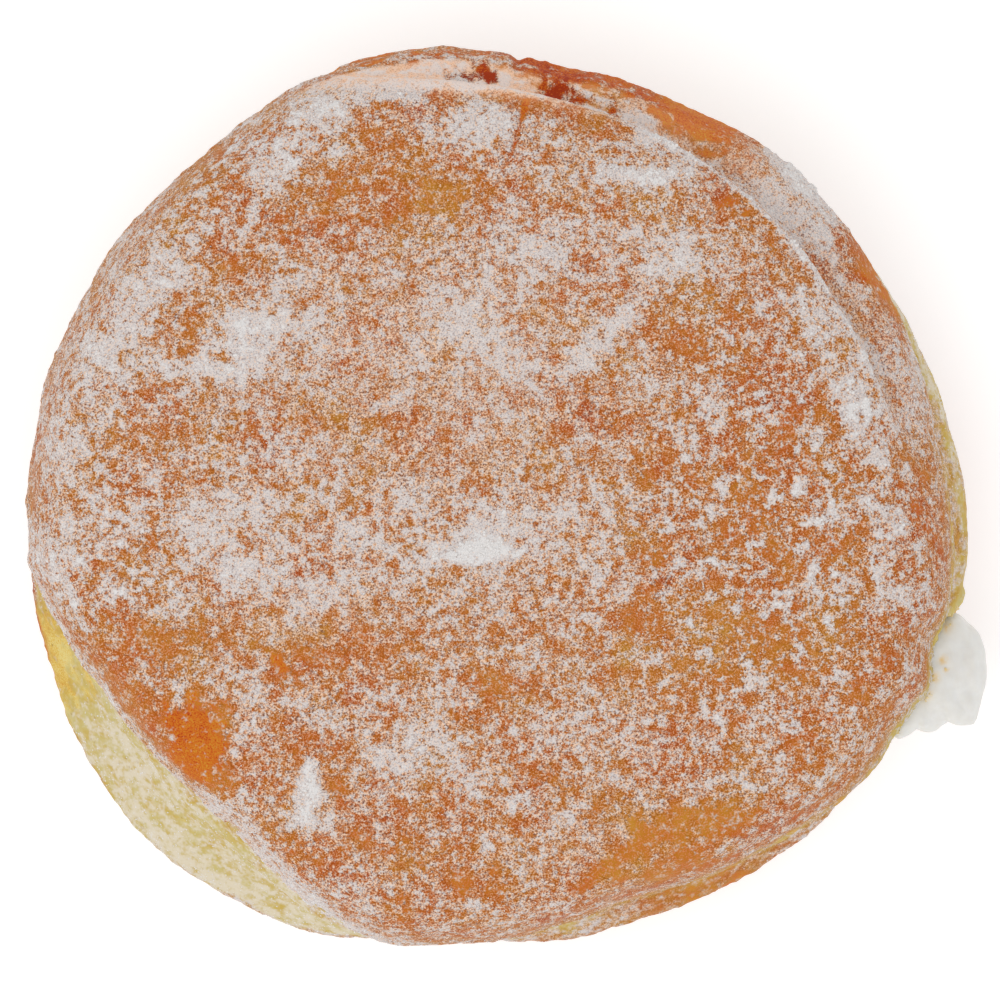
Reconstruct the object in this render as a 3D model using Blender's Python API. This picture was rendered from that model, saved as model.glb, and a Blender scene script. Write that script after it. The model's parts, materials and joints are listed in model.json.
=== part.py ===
"""A round yeast doughnut filled with whipped cream, lying flat with its shown face up.

Two solids: the fried dough, hollowed by the pocket that the cream was injected into, and the
cream, which fills that pocket and swells out of the injection hole in the side.
The origin is the middle of the part's footprint, on the surface that the doughnut rests on.
"""

import math

import bmesh
import bpy
from mathutils import Matrix, Vector

MM = 0.001

# Driving sizes of the dough.
MEAN_RADIUS = 45.1 * MM
HEIGHT = 37.0 * MM
FOOT_SHARE = 0.60  # radius of the flat foot, as a share of the outline's radius

# The outline seen from above isn't round: (waves, rise of a crest, azimuth of a crest in degrees).
OUTLINE_WAVES = (
    (1, 1.20 * MM, 246.0),
    (2, 0.93 * MM, 5.9),
    (3, 1.09 * MM, 103.8),
    (4, 0.10 * MM, 48.3),
    (6, 0.36 * MM, 49.1),
    (7, 0.13 * MM, 49.1),
)

# Heights of the rings that the side is made of, and how far they stay inside the outline.
RIM_DROP = 3.4 * MM  # how far the face's rim lies below the middle of the face
CRUST_EDGE_Z = 23.0 * MM  # lower edge of the upper crust
WAIST_Z = 18.0 * MM  # middle of the pale band round the side
LOWER_RING_Z = 12.5 * MM  # widest ring of the lower crust
FACE_INSET = 3.4 * MM
WAIST_INSET = 1.5 * MM
LOWER_INSET = 0.9 * MM

# Stretches of the side that differ: (middle azimuth, degrees it reaches back and on, size).
TALL_BAND = (223.0, 40.0, 34.0, 6.6 * MM)  # the upper crust ends high, the pale band slopes out
TALL_BAND_RISE = 4.4 * MM
LOW_LIP = (284.0, 17.0, 44.0, 2.9 * MM)  # the lower crust stands out past the upper one
BULGED_WAIST = (6.0, 40.0, 34.0, 1.1 * MM)  # the waist stands out past the upper crust
SHOULDER = (42.0, 88.0, 88.0, 2.9 * MM)  # the crust steps down outside the face's rim
TROUGH = (44.0, 60.0, 60.0, 1.6 * MM)  # depth of the furrow in that step

# The cream. Places are (out from the doughnut's axis, along the side, up) on the mouth's azimuth.
MOUTH_AZIMUTH = -21.4
GAP = 0.3 * MM
POCKET = ((6.0, 0.0, 18.2), (27.0, 24.0, 6.0))  # centre and half sizes in millimetres
NECK = ((34.0, -0.6, 17.8), (13.0, 6.0, 4.0))
SWELL_MIDDLE = (45.6, -0.9, 17.4)
SWELL_LUMPS = (
    ((45.3, -0.6, 17.5), (5.2, 5.7, 5.3)),  # the body of the swell, in the mouth
    ((49.0, 0.9, 17.0), (2.6, 3.2, 3.9)),  # the tongue that stands out furthest
    ((49.9, -2.2, 16.4), (2.3, 2.0, 3.3)),  # its tip
    ((46.4, -5.0, 17.6), (2.3, 1.6, 3.2)),  # the curl on its lower side
    ((45.0, -6.7, 18.0), (1.5, 1.2, 2.2)),  # the tail of that curl
    ((46.6, 4.3, 18.0), (2.1, 1.5, 3.0)),  # the curl on its upper side
)
BLEND = 2.2  # how sharply one lump gives way to the next

# Facets.
DOUGH_SEGMENTS = 72
RINGS_PER_SPAN = 2
POCKET_FACETS = (28, 12)
NECK_FACETS = (20, 12)
SWELL_FACETS = (30, 20)
SEARCH_STEPS = 48


def share(azimuth, stretch):
    """How much of a stretch is felt at this azimuth: 1 in its middle, fading to 0 at its ends."""
    middle, back, on, _ = stretch
    away = (azimuth - middle + 180.0) % 360.0 - 180.0
    part = away / on if away > 0 else -away / back
    return math.cos(math.pi / 2 * part) ** 1.4 if part < 1.0 else 0.0


def lobe(azimuth, stretch):
    return share(azimuth, stretch) * stretch[-1]


def outline_radius(azimuth):
    waves = (
        rise * math.cos(math.radians(count * (azimuth - crest)))
        for count, rise, crest in OUTLINE_WAVES
    )
    return MEAN_RADIUS + sum(waves)


def upper_crust(azimuth):
    """The section from the middle of the face out and down to the upper crust's edge."""
    tallness = share(azimuth, TALL_BAND)
    inset = sum(lobe(azimuth, s) for s in (TALL_BAND, LOW_LIP, BULGED_WAIST))
    furrow = lobe(azimuth, TROUGH)
    edge = outline_radius(azimuth) - inset
    edge_z = CRUST_EDGE_Z + TALL_BAND_RISE * tallness - 0.3 * lobe(azimuth, LOW_LIP)
    rim = edge - FACE_INSET * (1 - 0.3 * tallness) - lobe(azimuth, SHOULDER)
    rim_z = HEIGHT - RIM_DROP

    def shoulder(across, down, hollow):
        """A point of the rolled side, by its shares of the way out and down to the edge."""
        return (rim + (edge - rim) * across, rim_z + (edge_z - rim_z) * down - hollow * furrow)

    return [
        (0.0, HEIGHT),
        (0.35 * rim, HEIGHT - 0.07 * RIM_DROP),
        (0.66 * rim, HEIGHT - 0.26 * RIM_DROP),
        (0.88 * rim, HEIGHT - 0.62 * RIM_DROP),
        (rim, rim_z),
        shoulder(0.34, 0.13, 0.8),
        shoulder(0.65, 0.34, 1.0),
        shoulder(0.89, 0.63, 0.2),
        (edge, edge_z),
    ]


def waist_and_base(azimuth):
    """The section on from the crust's edge, in over the pale waist, round the base to its middle."""
    outline = outline_radius(azimuth)
    tallness = share(azimuth, TALL_BAND)
    flat_side = 1 - share(azimuth, BULGED_WAIST)
    plain_base = 1 - max(tallness, share(azimuth, LOW_LIP))
    hollow = WAIST_INSET * flat_side**3
    waist = outline - hollow - 0.5 * lobe(azimuth, TALL_BAND) - 0.7 * lobe(azimuth, LOW_LIP)
    lower = outline - LOWER_INSET * plain_base**4
    foot = FOOT_SHARE * outline
    return [
        (waist, WAIST_Z + 0.45 * TALL_BAND_RISE * tallness),
        (lower, LOWER_RING_Z),
        (lower - 1.5 * MM, 7.0 * MM),
        (lower - 5.4 * MM, 2.9 * MM),
        (0.45 * foot + 0.55 * (lower - 5.4 * MM), 0.9 * MM),
        (foot, 0.0),
        (0.5 * foot, 0.0),
        (0.0, 0.0),
    ]


def through(points, samples_per_span):
    """Points on a smooth curve through these ones, with as many samples in each span between two."""
    points = [Vector(p) for p in points]
    before = [Vector((-points[1].x, points[1].y)), *points]
    after = [*points[1:], Vector((-points[-2].x, points[-2].y))]
    slopes = [(b - a) / 2 for a, b in zip(before, after)]
    curve = []
    for start, end, leave, arrive in zip(points, points[1:], slopes, slopes[1:]):
        length = (end - start).length
        leave = leave.normalized() * min(leave.length, length)
        arrive = arrive.normalized() * min(arrive.length, length)
        for i in range(samples_per_span):
            t = i / samples_per_span
            curve.append(
                start * (2 * t**3 - 3 * t**2 + 1)
                + leave * (t**3 - 2 * t**2 + t)
                + end * (3 * t**2 - 2 * t**3)
                + arrive * (t**3 - t**2)
            )
    return [*curve, points[-1]]


def material(name, colour, roughness):
    made = bpy.data.materials.new(name)
    made.use_nodes = True
    shader = made.node_tree.nodes["Principled BSDF"]
    shader.inputs["Base Color"].default_value = (*colour, 1.0)
    shader.inputs["Roughness"].default_value = roughness
    shader.inputs["Metallic"].default_value = 0.0
    return made


def add_object(name, mesh, collection):
    made = bpy.data.objects.new(name, mesh)
    collection.objects.link(made)
    return made


def sphere(name, facets, place, collection):
    """A unit sphere of (segments, rings) facets whose points are moved by place(point)."""
    form = bmesh.new()
    bmesh.ops.create_uvsphere(form, u_segments=facets[0], v_segments=facets[1], radius=1.0)
    for vertex in form.verts:
        vertex.co = place(vertex.co.copy())
    mesh = bpy.data.meshes.new(name)
    form.to_mesh(mesh)
    form.free()
    mesh.shade_smooth()
    return add_object(name, mesh, collection)


def whole_dough(collection):
    """The dough before it was filled: each meridian of a sphere is moved onto its section."""
    rings = (len(upper_crust(0.0)) + len(waist_and_base(0.0)) - 1) * RINGS_PER_SPAN
    sections = {}

    def on_section(point):
        ring = round(math.acos(max(-1.0, min(1.0, point.z))) / math.pi * rings)
        azimuth = round(math.degrees(math.atan2(point.y, point.x)), 3)
        if azimuth not in sections:
            outside = upper_crust(azimuth) + waist_and_base(azimuth)
            sections[azimuth] = through(outside, RINGS_PER_SPAN)
        radius, height = sections[azimuth][ring]
        if ring in (0, rings):
            return Vector((0.0, 0.0, height))
        around = Vector((point.x, point.y, 0.0)).normalized()
        return around * radius + Vector((0.0, 0.0, max(height, 0.0)))

    return sphere("whole_dough", (DOUGH_SEGMENTS, rings), on_section, collection)


def at_mouth(point):
    """From (out, along, up) at the mouth to the doughnut's own axes."""
    return Matrix.Rotation(math.radians(MOUTH_AZIMUTH), 4, "Z") @ point


def egg(name, shape, facets, grow, collection):
    """An egg-shaped lump of cream, swollen by grow on every side."""
    centre, half_sizes = (Vector(v) * MM for v in shape)
    sizes = Matrix.Diagonal(half_sizes + Vector((grow, grow, grow)))
    return sphere(name, facets, lambda point: at_mouth(centre + sizes @ point), collection)


def inside_swell(point, grow):
    """Whether a point lies in the lumps of the swell, which run together like one soft mass."""
    total = 0.0
    for centre, half_sizes in SWELL_LUMPS:
        away = point - Vector(centre) * MM
        reach = sum((a / (s * MM + grow)) ** 2 for a, s in zip(away, half_sizes))
        total += math.exp(BLEND * (1.0 - reach))
    return total >= 1.0


def swell(name, grow, collection):
    """The cream outside the mouth: each point of a sphere is moved out to the skin of the lumps."""
    middle = Vector(SWELL_MIDDLE) * MM

    def on_skin(direction):
        low, high = 0.0, 12.0 * MM
        steps = [high * i / SEARCH_STEPS for i in range(SEARCH_STEPS, 0, -1)]
        for step in steps:
            if inside_swell(middle + direction * step, grow):
                low, high = step, step + high / SEARCH_STEPS
                break
        for _ in range(12):
            half = (low + high) / 2
            if inside_swell(middle + direction * half, grow):
                low = half
            else:
                high = half
        return at_mouth(middle + direction * low)

    return sphere(name, SWELL_FACETS, on_skin, collection)


def cream_shapes(prefix, grow, collection):
    return [
        egg(f"{prefix}_pocket", POCKET, POCKET_FACETS, grow, collection),
        egg(f"{prefix}_neck", NECK, NECK_FACETS, grow, collection),
        swell(f"{prefix}_swell", grow, collection),
    ]


def combine(target, tools, operation):
    for tool in tools:
        boolean = target.modifiers.new(tool.name, "BOOLEAN")
        boolean.operation = operation
        boolean.solver = "EXACT"
        boolean.object = tool


def finished(source, name, finish, collection):
    """A plain object of what source's modifiers make, with its own material."""
    graph = bpy.context.evaluated_depsgraph_get()
    mesh = bpy.data.meshes.new_from_object(source.evaluated_get(graph))
    mesh.name = name
    mesh.materials.clear()
    mesh.materials.append(finish)
    return add_object(name, mesh, collection)


def set_on_footprint(parts):
    """Moves the parts so that the middle of their footprint is at the origin."""
    corners = [v.co for part in parts for v in part.data.vertices]
    low = Vector(min(c[i] for c in corners) for i in range(3))
    high = Vector(max(c[i] for c in corners) for i in range(3))
    shift = Vector((-(low.x + high.x) / 2, -(low.y + high.y) / 2, -low.z))
    for part in parts:
        part.data.transform(Matrix.Translation(shift))


def main():
    for old in list(bpy.data.objects):
        bpy.data.objects.remove(old)
    scene = bpy.context.scene.collection
    doughnut = bpy.data.collections.new("cream_filled_doughnut")
    cutters = bpy.data.collections.new("cutters")
    scene.children.link(doughnut)
    scene.children.link(cutters)
    cutters.hide_render = True

    dough = whole_dough(cutters)
    combine(dough, cream_shapes("cut", GAP, cutters), "DIFFERENCE")
    cream, *others = cream_shapes("cream", 0.0, cutters)
    combine(cream, others, "UNION")

    bpy.context.view_layer.update()
    crust = material("fried_crust", (0.42, 0.17, 0.035), 0.75)
    whipped = material("whipped_cream", (0.87, 0.86, 0.82), 0.5)
    parts = [
        finished(dough, "dough", crust, doughnut),
        finished(cream, "cream", whipped, doughnut),
    ]
    for helper in cutters.objects:
        helper.hide_render = True
        helper.display_type = "WIRE"
    set_on_footprint(parts)


main()
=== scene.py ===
# %% [markdown]
# # A cream-filled doughnut, dusted with fine sugar
# A yeast doughnut is fried floating, so each face browns while the middle of its side stays out
# of the fat: a brown upper crust, a pale band of crumb round the waist, and a brown base. Cream is
# then piped in through the side until it swells out of the hole, and the whole is tossed in sugar.
# The solid model gives the true sizes. This script never moves it: it reads the frame, grows fine
# skins on it, and finishes them. Every length below is written in millimetres times MM.

# %% Load the frame
import json
import math

import bpy
import numpy as np
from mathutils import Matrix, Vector
from mathutils.bvhtree import BVHTree

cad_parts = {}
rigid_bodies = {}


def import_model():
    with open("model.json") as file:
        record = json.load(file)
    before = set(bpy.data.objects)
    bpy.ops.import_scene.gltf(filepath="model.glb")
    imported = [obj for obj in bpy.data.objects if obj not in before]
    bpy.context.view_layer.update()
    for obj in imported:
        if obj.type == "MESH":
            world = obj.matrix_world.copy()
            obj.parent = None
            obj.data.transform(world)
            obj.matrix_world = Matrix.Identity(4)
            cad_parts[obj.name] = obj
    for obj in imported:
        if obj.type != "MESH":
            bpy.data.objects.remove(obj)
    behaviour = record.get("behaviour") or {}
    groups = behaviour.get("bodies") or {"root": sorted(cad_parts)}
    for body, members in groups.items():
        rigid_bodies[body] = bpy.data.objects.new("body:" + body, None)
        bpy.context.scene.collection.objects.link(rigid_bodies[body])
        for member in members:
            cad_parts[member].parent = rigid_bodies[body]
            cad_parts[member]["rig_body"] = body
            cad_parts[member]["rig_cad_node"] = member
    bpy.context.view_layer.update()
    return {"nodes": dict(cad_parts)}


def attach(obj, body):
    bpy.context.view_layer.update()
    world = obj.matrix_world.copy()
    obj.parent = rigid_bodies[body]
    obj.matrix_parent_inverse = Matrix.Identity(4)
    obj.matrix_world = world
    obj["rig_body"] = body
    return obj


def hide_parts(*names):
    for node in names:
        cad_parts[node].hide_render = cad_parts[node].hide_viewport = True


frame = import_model()
MM = 0.001

# %% [markdown]
# ## Reading the dough's form
# The solid's skin has facets a few millimetres wide, which would show under a raking light. A
# subdivision surface would round them, but it would also shrink the form and leave no handle for
# placing a fold "at this azimuth, on the rim". So the form is read as sections instead: at each
# azimuth, rays come in from outside towards the middle of the dough, and where they land gives the
# section from the top's middle, over the side, to the middle of the base.

# %% Shoot the sections
TURNS = 360  # sections read round the dough
FAN = 420  # rays in each section
SKY = 120 * MM  # how far out the rays start

dough = frame["nodes"]["dough"].data
corners = np.array([v.co for v in dough.vertices])
summit = corners[corners[:, 2].argmax()]
axis = Vector((summit[0], summit[1], summit[2] / 2))
skin_tree = BVHTree.FromPolygons(
    [v.co for v in dough.vertices], [p.vertices for p in dough.polygons]
)


def shoot_section(azimuth):
    """Radius and height of the dough's outside along one azimuth, from the top's middle down."""
    out = Vector((math.cos(azimuth), math.sin(azimuth), 0.0))
    found = []
    for tilt in np.linspace(0.0, math.pi, FAN):
        ray = out * (2.4 * math.sin(tilt)) + Vector((0.0, 0.0, math.cos(tilt)))
        ray.normalize()
        hit = skin_tree.ray_cast(axis + ray * SKY, -ray)[0]
        found.append(((hit - axis).dot(out), hit.z))
    return found


sections = np.array([shoot_section(math.radians(turn)) for turn in range(TURNS)])
print("sections read:", sections.shape[:2])
print("widest radius in mm:", round(sections[..., 0].max() / MM, 2))

# %% [markdown]
# Where the cream comes out, the rays fall into the hole. The dough had a whole skin there before
# the nozzle went in, so those sections are bridged from their neighbours. Round the turn the
# skin is then kept to its long waves, which removes the facets: a Fourier series is the natural
# tool, because the turn closes on itself. Down the section a short blur does the same.

# %% Bridge the mouth and smooth the facets away
MOUTH_AZIMUTH = -21.4  # degrees, where the cream comes out
MOUTH_HALF = 13  # degrees bridged each way
LONG_WAVES = 34  # waves to the turn that the dough's own form needs
FINE_TURNS = 1440
SECTION_POINTS = 700


def bridge(table):
    """Replaces the sections at the mouth by a blend of the two beside it."""
    first, last = (round(MOUTH_AZIMUTH) + side * MOUTH_HALF for side in (-1, 1))
    for turn in range(first, last + 1):
        part = (turn - first) / (last - first)
        table[turn % TURNS] = table[first % TURNS] * (1 - part) + table[last % TURNS] * part


def spaced_evenly(table, points):
    """Each section sampled again at equal steps along its own length."""
    fresh = []
    for line in table:
        steps = np.linalg.norm(np.diff(line, axis=0), axis=1)
        along = np.concatenate([[0.0], steps.cumsum()])
        want = np.linspace(0.0, along[-1], points)
        fresh.append(np.stack([np.interp(want, along, line[:, i]) for i in (0, 1)], 1))
    return np.array(fresh)


def blurred_down(table, reach):
    """Each section blurred along its length over about this many points, its ends held."""
    spread = np.arange(-3 * reach, 3 * reach + 1)
    weights = np.exp(-0.5 * (spread / reach) ** 2)
    weights /= weights.sum()
    flipped = table * np.array([-1.0, 1.0])  # past the middle a section runs on, mirrored
    pad = 3 * reach
    whole = np.concatenate([flipped[:, pad:0:-1], table, flipped[:, -2 : -pad - 2 : -1]], axis=1)
    return np.stack(
        [np.stack([np.convolve(line[:, i], weights, "valid") for i in (0, 1)], 1) for line in whole]
    )


def smoothed_round(table, turns):
    """The table's long waves only, written out at this many turns."""
    waves = np.fft.rfft(table, axis=0)
    count = np.arange(len(waves))
    waves *= (0.5 + 0.5 * np.cos(np.pi * np.clip(count / LONG_WAVES, 0, 1)))[:, None, None]
    return np.fft.irfft(waves, turns, axis=0) * turns / len(table)


bridge(sections)
skin = spaced_evenly(sections, SECTION_POINTS)
skin = smoothed_round(blurred_down(skin, 7), FINE_TURNS)
skin_length = np.linalg.norm(np.diff(skin, axis=1), axis=2).sum(1)
print("length of a section in mm:", (skin_length.min() / MM).round(1), (skin_length.max() / MM).round(1))

# %% [markdown]
# ## Any place on the skin
# The sections are now a table of turns and points. A place between them is blended from the four
# entries round it, so the meshes below may be as fine as they like, and of any pattern.

# %% Find a place on the skin
def on_skin(azimuth, along):
    """Radius and height on the skin, for arrays of degrees and of metres along the section."""
    turn = np.mod(azimuth, 360.0) * FINE_TURNS / 360.0
    t0 = np.floor(turn).astype(int)
    t1, tf = (t0 + 1) % FINE_TURNS, (turn - t0)[:, None]
    t0 %= FINE_TURNS
    step = (skin_length[t0] * (1 - tf[:, 0]) + skin_length[t1] * tf[:, 0]) / (SECTION_POINTS - 1)
    place = np.clip(along / step, 0, SECTION_POINTS - 1.001)
    p0 = np.floor(place).astype(int)
    pf = (place - p0)[:, None]
    low = skin[t0, p0] * (1 - pf) + skin[t0, p0 + 1] * pf
    high = skin[t1, p0] * (1 - pf) + skin[t1, p0 + 1] * pf
    return low * (1 - tf) + high * tf


print("height 20 mm along at the back in mm:", (on_skin(np.array([90.0]), 20 * MM)[0, 1] / MM).round(2))

# %% [markdown]
# ## Where the upper crust ends
# The brown crust meets the pale band on a line that rises and falls round the side. On the side
# where the dough leaned as it fried, the line climbs and the pale band slopes out below it.

# %% Find the crust's edge on every section
CRUST_EDGE_Z = 23.0 * MM
TALL_BAND = (223.0, 40.0, 34.0)  # middle azimuth, degrees it reaches back and on
LOW_LIP = (284.0, 17.0, 44.0)


def turned(azimuth, middle):
    """Degrees from the middle azimuth, from -180 to 180."""
    return np.mod(azimuth - middle + 180.0, 360.0) - 180.0


def share(azimuth, stretch):
    """1 in the middle of a stretch of the side, fading to 0 at its ends."""
    middle, back, on = stretch
    away = turned(azimuth, middle)
    part = np.clip(np.where(away > 0, away / on, -away / back), 0, 1)
    return np.cos(np.pi / 2 * part) ** 1.4


turns = np.arange(FINE_TURNS) * 360.0 / FINE_TURNS
edge_z = CRUST_EDGE_Z + 4.4 * MM * share(turns, TALL_BAND) - 0.9 * MM * share(turns, LOW_LIP)
edge_point = (skin[:, :, 1] < edge_z[:, None]).argmax(1)
edge_along = edge_point * skin_length / (SECTION_POINTS - 1)
edge_along = smoothed_round(edge_along[:, None, None], FINE_TURNS)[:, 0, 0]
print("face to crust's edge in mm:", (edge_along.min() / MM).round(1), (edge_along.max() / MM).round(1))


def edge_at(azimuth):
    """Length along the section from the top's middle to the crust's edge."""
    whole_turn = np.append(turns, 360.0)
    return np.interp(np.mod(azimuth, 360.0), whole_turn, np.append(edge_along, edge_along[0]))

# %% [markdown]
# ## Natural unevenness
# Dough is never smooth: it swells unevenly, its skin wrinkles and sugar lies in drifts. One noise
# function serves them all. It puts a random slope at each corner of a lattice and blends between
# the corners, as the shader's noise does, but here it can move vertices and be stored on them.

# %% Noise on a lattice
def lattice_noise(points, size, seed):
    """Smooth noise from about -1 to 1 whose lumps are this size."""
    slopes = np.random.default_rng(seed).normal(size=(1024, 3))
    slopes /= np.linalg.norm(slopes, axis=1)[:, None]
    place = points / size + seed * 7.31
    base = np.floor(place).astype(np.int64)
    inside = place - base
    ease = inside**3 * (inside * (inside * 6 - 15) + 10)
    total = np.zeros(len(points))
    for corner in np.ndindex(2, 2, 2):
        cell = base + corner
        key = (cell[:, 0] * 73856093) ^ (cell[:, 1] * 19349663) ^ (cell[:, 2] * 83492791)
        weight = np.prod(np.where(corner, ease, 1 - ease), axis=1)
        total += weight * (slopes[key & 1023] * (inside - corner)).sum(1)
    return total * 1.7


def layered_noise(points, size, layers, keep, seed):
    """Noise with finer and finer lumps, each layer keeping this much of the strength before."""
    return sum(keep**i * lattice_noise(points, size / 2**i, seed + i) for i in range(layers))


print("noise at one place:", lattice_noise(np.array([[0.3, 0.4, 0.5]]), 1.0, 1).round(3))

# %% [markdown]
# ## A grid with no poles
# A sphere's grid crowds at its poles. Here each ring has six more points than the ring inside it,
# like oranges packed round one orange, so the triangles stay alike from the middle of the face to
# the side. One such disc, bent over the side, makes the upper crust, and another the base.

# %% Rings of triangles
def disc(rings):
    """(azimuths in degrees, ring numbers, triangles) of a disc of rings round one point."""
    azimuths, numbers = [np.zeros(1)], [np.zeros(1, int)]
    triangles = []
    first = np.array([0, 1])
    for ring in range(1, rings + 1):
        count = 6 * ring
        azimuths.append(np.arange(count) * 360.0 / count)
        numbers.append(np.full(count, ring))
        start = 1 + 3 * ring * (ring - 1)
        inner_start = 1 + 3 * (ring - 1) * (ring - 2) if ring > 1 else 0
        inner_count = max(6 * (ring - 1), 1)
        sector, step = np.divmod(np.arange(count), ring)
        outer = start + np.arange(count)
        outer_next = start + (np.arange(count) + 1) % count
        inner = inner_start + (sector * (ring - 1) + step) % inner_count
        triangles.append(np.stack([outer, outer_next, inner], 1))
        turned_in = step < ring - 1
        inner_next = inner_start + (sector * (ring - 1) + step + 1) % inner_count
        triangles.append(np.stack([inner, outer_next, inner_next], 1)[turned_in])
    return np.concatenate(azimuths), np.concatenate(numbers), np.concatenate(triangles)


def closed_disc(rings):
    """The disc with one more point, which closes it from behind."""
    azimuths, numbers, triangles = disc(rings)
    count = 6 * rings
    rim = len(azimuths) - count + np.arange(count)
    back = np.full(count, len(azimuths))
    closing = np.stack([rim, back, np.roll(rim, -1)], 1)
    azimuths, numbers = np.append(azimuths, 0.0), np.append(numbers, rings)
    return azimuths, numbers, np.concatenate([triangles, closing])


print("a disc of 3 rings has", len(disc(3)[0]), "points and", len(disc(3)[2]), "triangles")

# %% [markdown]
# ## Meshes as arrays
# Python loops over a hundred thousand vertices are slow, so points, normals and stored numbers all go
# to and from Blender as whole arrays. An attribute keeps one number on every vertex: it is how
# the script tells a material or a scattering tree what lies where.

# %% Pass arrays to and from a mesh
def mesh_object(name, points, triangles, flip=False):
    """A smooth-shaded object at the origin from arrays of points and triangles."""
    mesh = bpy.data.meshes.new(name)
    order = triangles[:, ::-1] if flip else triangles
    mesh.from_pydata(points.tolist(), [], order.tolist())
    mesh.shade_smooth()
    made = bpy.data.objects.new(name, mesh)
    bpy.context.scene.collection.objects.link(made)
    return made


def normals_of(thing):
    """The direction that the skin faces at each vertex."""
    flat = np.empty(len(thing.data.vertices) * 3)
    thing.data.vertices.foreach_get("normal", flat)
    return flat.reshape(-1, 3)


def move_points(thing, points):
    """Moves every vertex to its row of this array."""
    thing.data.vertices.foreach_set("co", points.ravel())
    thing.data.update()


def store(thing, name, values):
    """Keeps one number for each vertex, for the materials to read."""
    kept = thing.data.attributes.new(name, "FLOAT", "POINT")
    kept.data.foreach_set("value", values.astype(np.float32))


def in_space(azimuth, radius, height):
    """Points from their azimuth in degrees, their distance from the dough's axis and their height."""
    a = np.radians(azimuth)
    return np.stack([axis.x + radius * np.cos(a), axis.y + radius * np.sin(a), height], 1)


print("the dough's axis in mm:", round(axis.x / MM, 2), round(axis.y / MM, 2))

# %% [markdown]
# ## Uneven sides
# Each doughnut bulges and flattens differently where it touched its neighbours or the pan. A row is
# the middle's azimuth, how many degrees it reaches, and how far it pushes in mm. The rows were set
# one at a time against measured differences in the outline.

# %% Bulges and flats round the side
ON_BOTH = (
    (46, 10, -0.35), (63, 12, -0.7), (84, 6, -0.5), (108.5, 2.5, 0.3), (126, 10, -0.7), (176, 6, -0.35),
    (8, 5, -0.35), (92, 3, -0.25),
)
ON_CRUST = (
    (2, 17, -0.8), (234, 12, -1), (264, 6, -0.6), (188, 2.5, 0.45), (281, 4, 0.4), (342, 2.4, -0.7),
    (336.2, 1.8, 0.6), (329.5, 3, -0.55),
)
ON_WAIST = (
    (188, 2.5, 0.4), (281, 4, 0.35), (192, 6, 0.9), (222, 12, 0.5), (248, 8, 0.75), (314, 9, 0.5),
    (351.5, 3.5, 0.4),
)


def bump(distance, reach):
    """A rounded hill of height 1 over a distance of 0."""
    return np.exp(-((distance / reach) ** 2))


def fade(values, low, high):
    """0 below low, 1 above high, smooth between."""
    part = np.clip((values - low) / (high - low), 0, 1)
    return part * part * (3 - 2 * part)


def pushed_out(azimuth, radius, bulges):
    """The radius with these bulges added, in full on the side and not at all over the middle."""
    push = sum(change * bump(turned(azimuth, middle), reach) for middle, reach, change in bulges)
    return radius + push * MM * fade(radius, 30 * MM, 41 * MM)


print("a radius of 45 mm facing back:", (pushed_out(90.0, 45 * MM, ON_BOTH) / MM).round(2), "mm")

# %% [markdown]
# ## The bare upper crust
# The crust runs a little past its edge and tucks in behind it, as a lip. Over the mouth the lip is
# a little torn. The last point closes the crust from inside, so it is a whole shell that can be
# weighed or sliced like any solid.

# %% Bend the first disc over the face
CRUST_RINGS = 176
TUCK = 2.2 * MM  # how far the lip turns in under the edge

crust_azimuth, crust_ring, crust_triangles = closed_disc(CRUST_RINGS)
crust_reach = edge_at(crust_azimuth) + TUCK
crust_along = crust_ring / CRUST_RINGS * crust_reach
past_edge = np.clip(crust_along - edge_at(crust_azimuth), 0, None)
section = on_skin(crust_azimuth, crust_along - past_edge)
crust_radius = section[:, 0] - past_edge * 0.95
crust_radius += 0.25 * MM * np.sin(np.pi * np.clip(past_edge / TUCK, 0, 1))
crust_radius = pushed_out(crust_azimuth, crust_radius, ON_BOTH + ON_CRUST)
torn_lip = bump(turned(crust_azimuth, MOUTH_AZIMUTH), 10.0)
torn_lip *= fade(crust_along - edge_at(crust_azimuth), -2.5 * MM, 0.0)
before_tearing = in_space(crust_azimuth, crust_radius, section[:, 1])
crust_radius += 0.30 * MM * torn_lip * layered_noise(before_tearing, 1.5 * MM, 3, 0.8, 15)
crust_height = section[:, 1] - 0.35 * MM * np.sin(np.pi * past_edge / TUCK)
crust_points = in_space(crust_azimuth, crust_radius, crust_height)
crust_points[-1] = (axis.x, axis.y, CRUST_EDGE_Z)
crust = mesh_object("upper_crust", crust_points, crust_triangles)
print("upper crust:", len(crust_triangles), "triangles")

# %% [markdown]
# ## Where a point lies on the crust
# A fold or a drift of sugar is placed by what it lies near. So each point of the crust is measured
# once: how far it lies from the axis, the outline, the crust's lower edge and the ridge. The ridge
# is the crisp line where the dough folded over as it rose, and the face steps down to a shelf. It
# isn't a circle: it lies furthest in at one azimuth and runs out to the side at both ends.

# %% Measure the crust's points
RIDGE_AZIMUTH = 47.0
RIDGE_NEAREST = 37.9  # mm from the axis


def ridge_radius(azimuth):
    """How far from the axis the ridge between the face and its shelf runs."""
    before = 2.4 * np.clip(-turned(azimuth, RIDGE_AZIMUTH) / 42.0, 0, None) ** 4
    after = 3.8 * np.clip(turned(azimuth, RIDGE_AZIMUTH) / 58.0, 0, None) ** 2.6
    return (RIDGE_NEAREST + before + after) * MM


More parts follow.
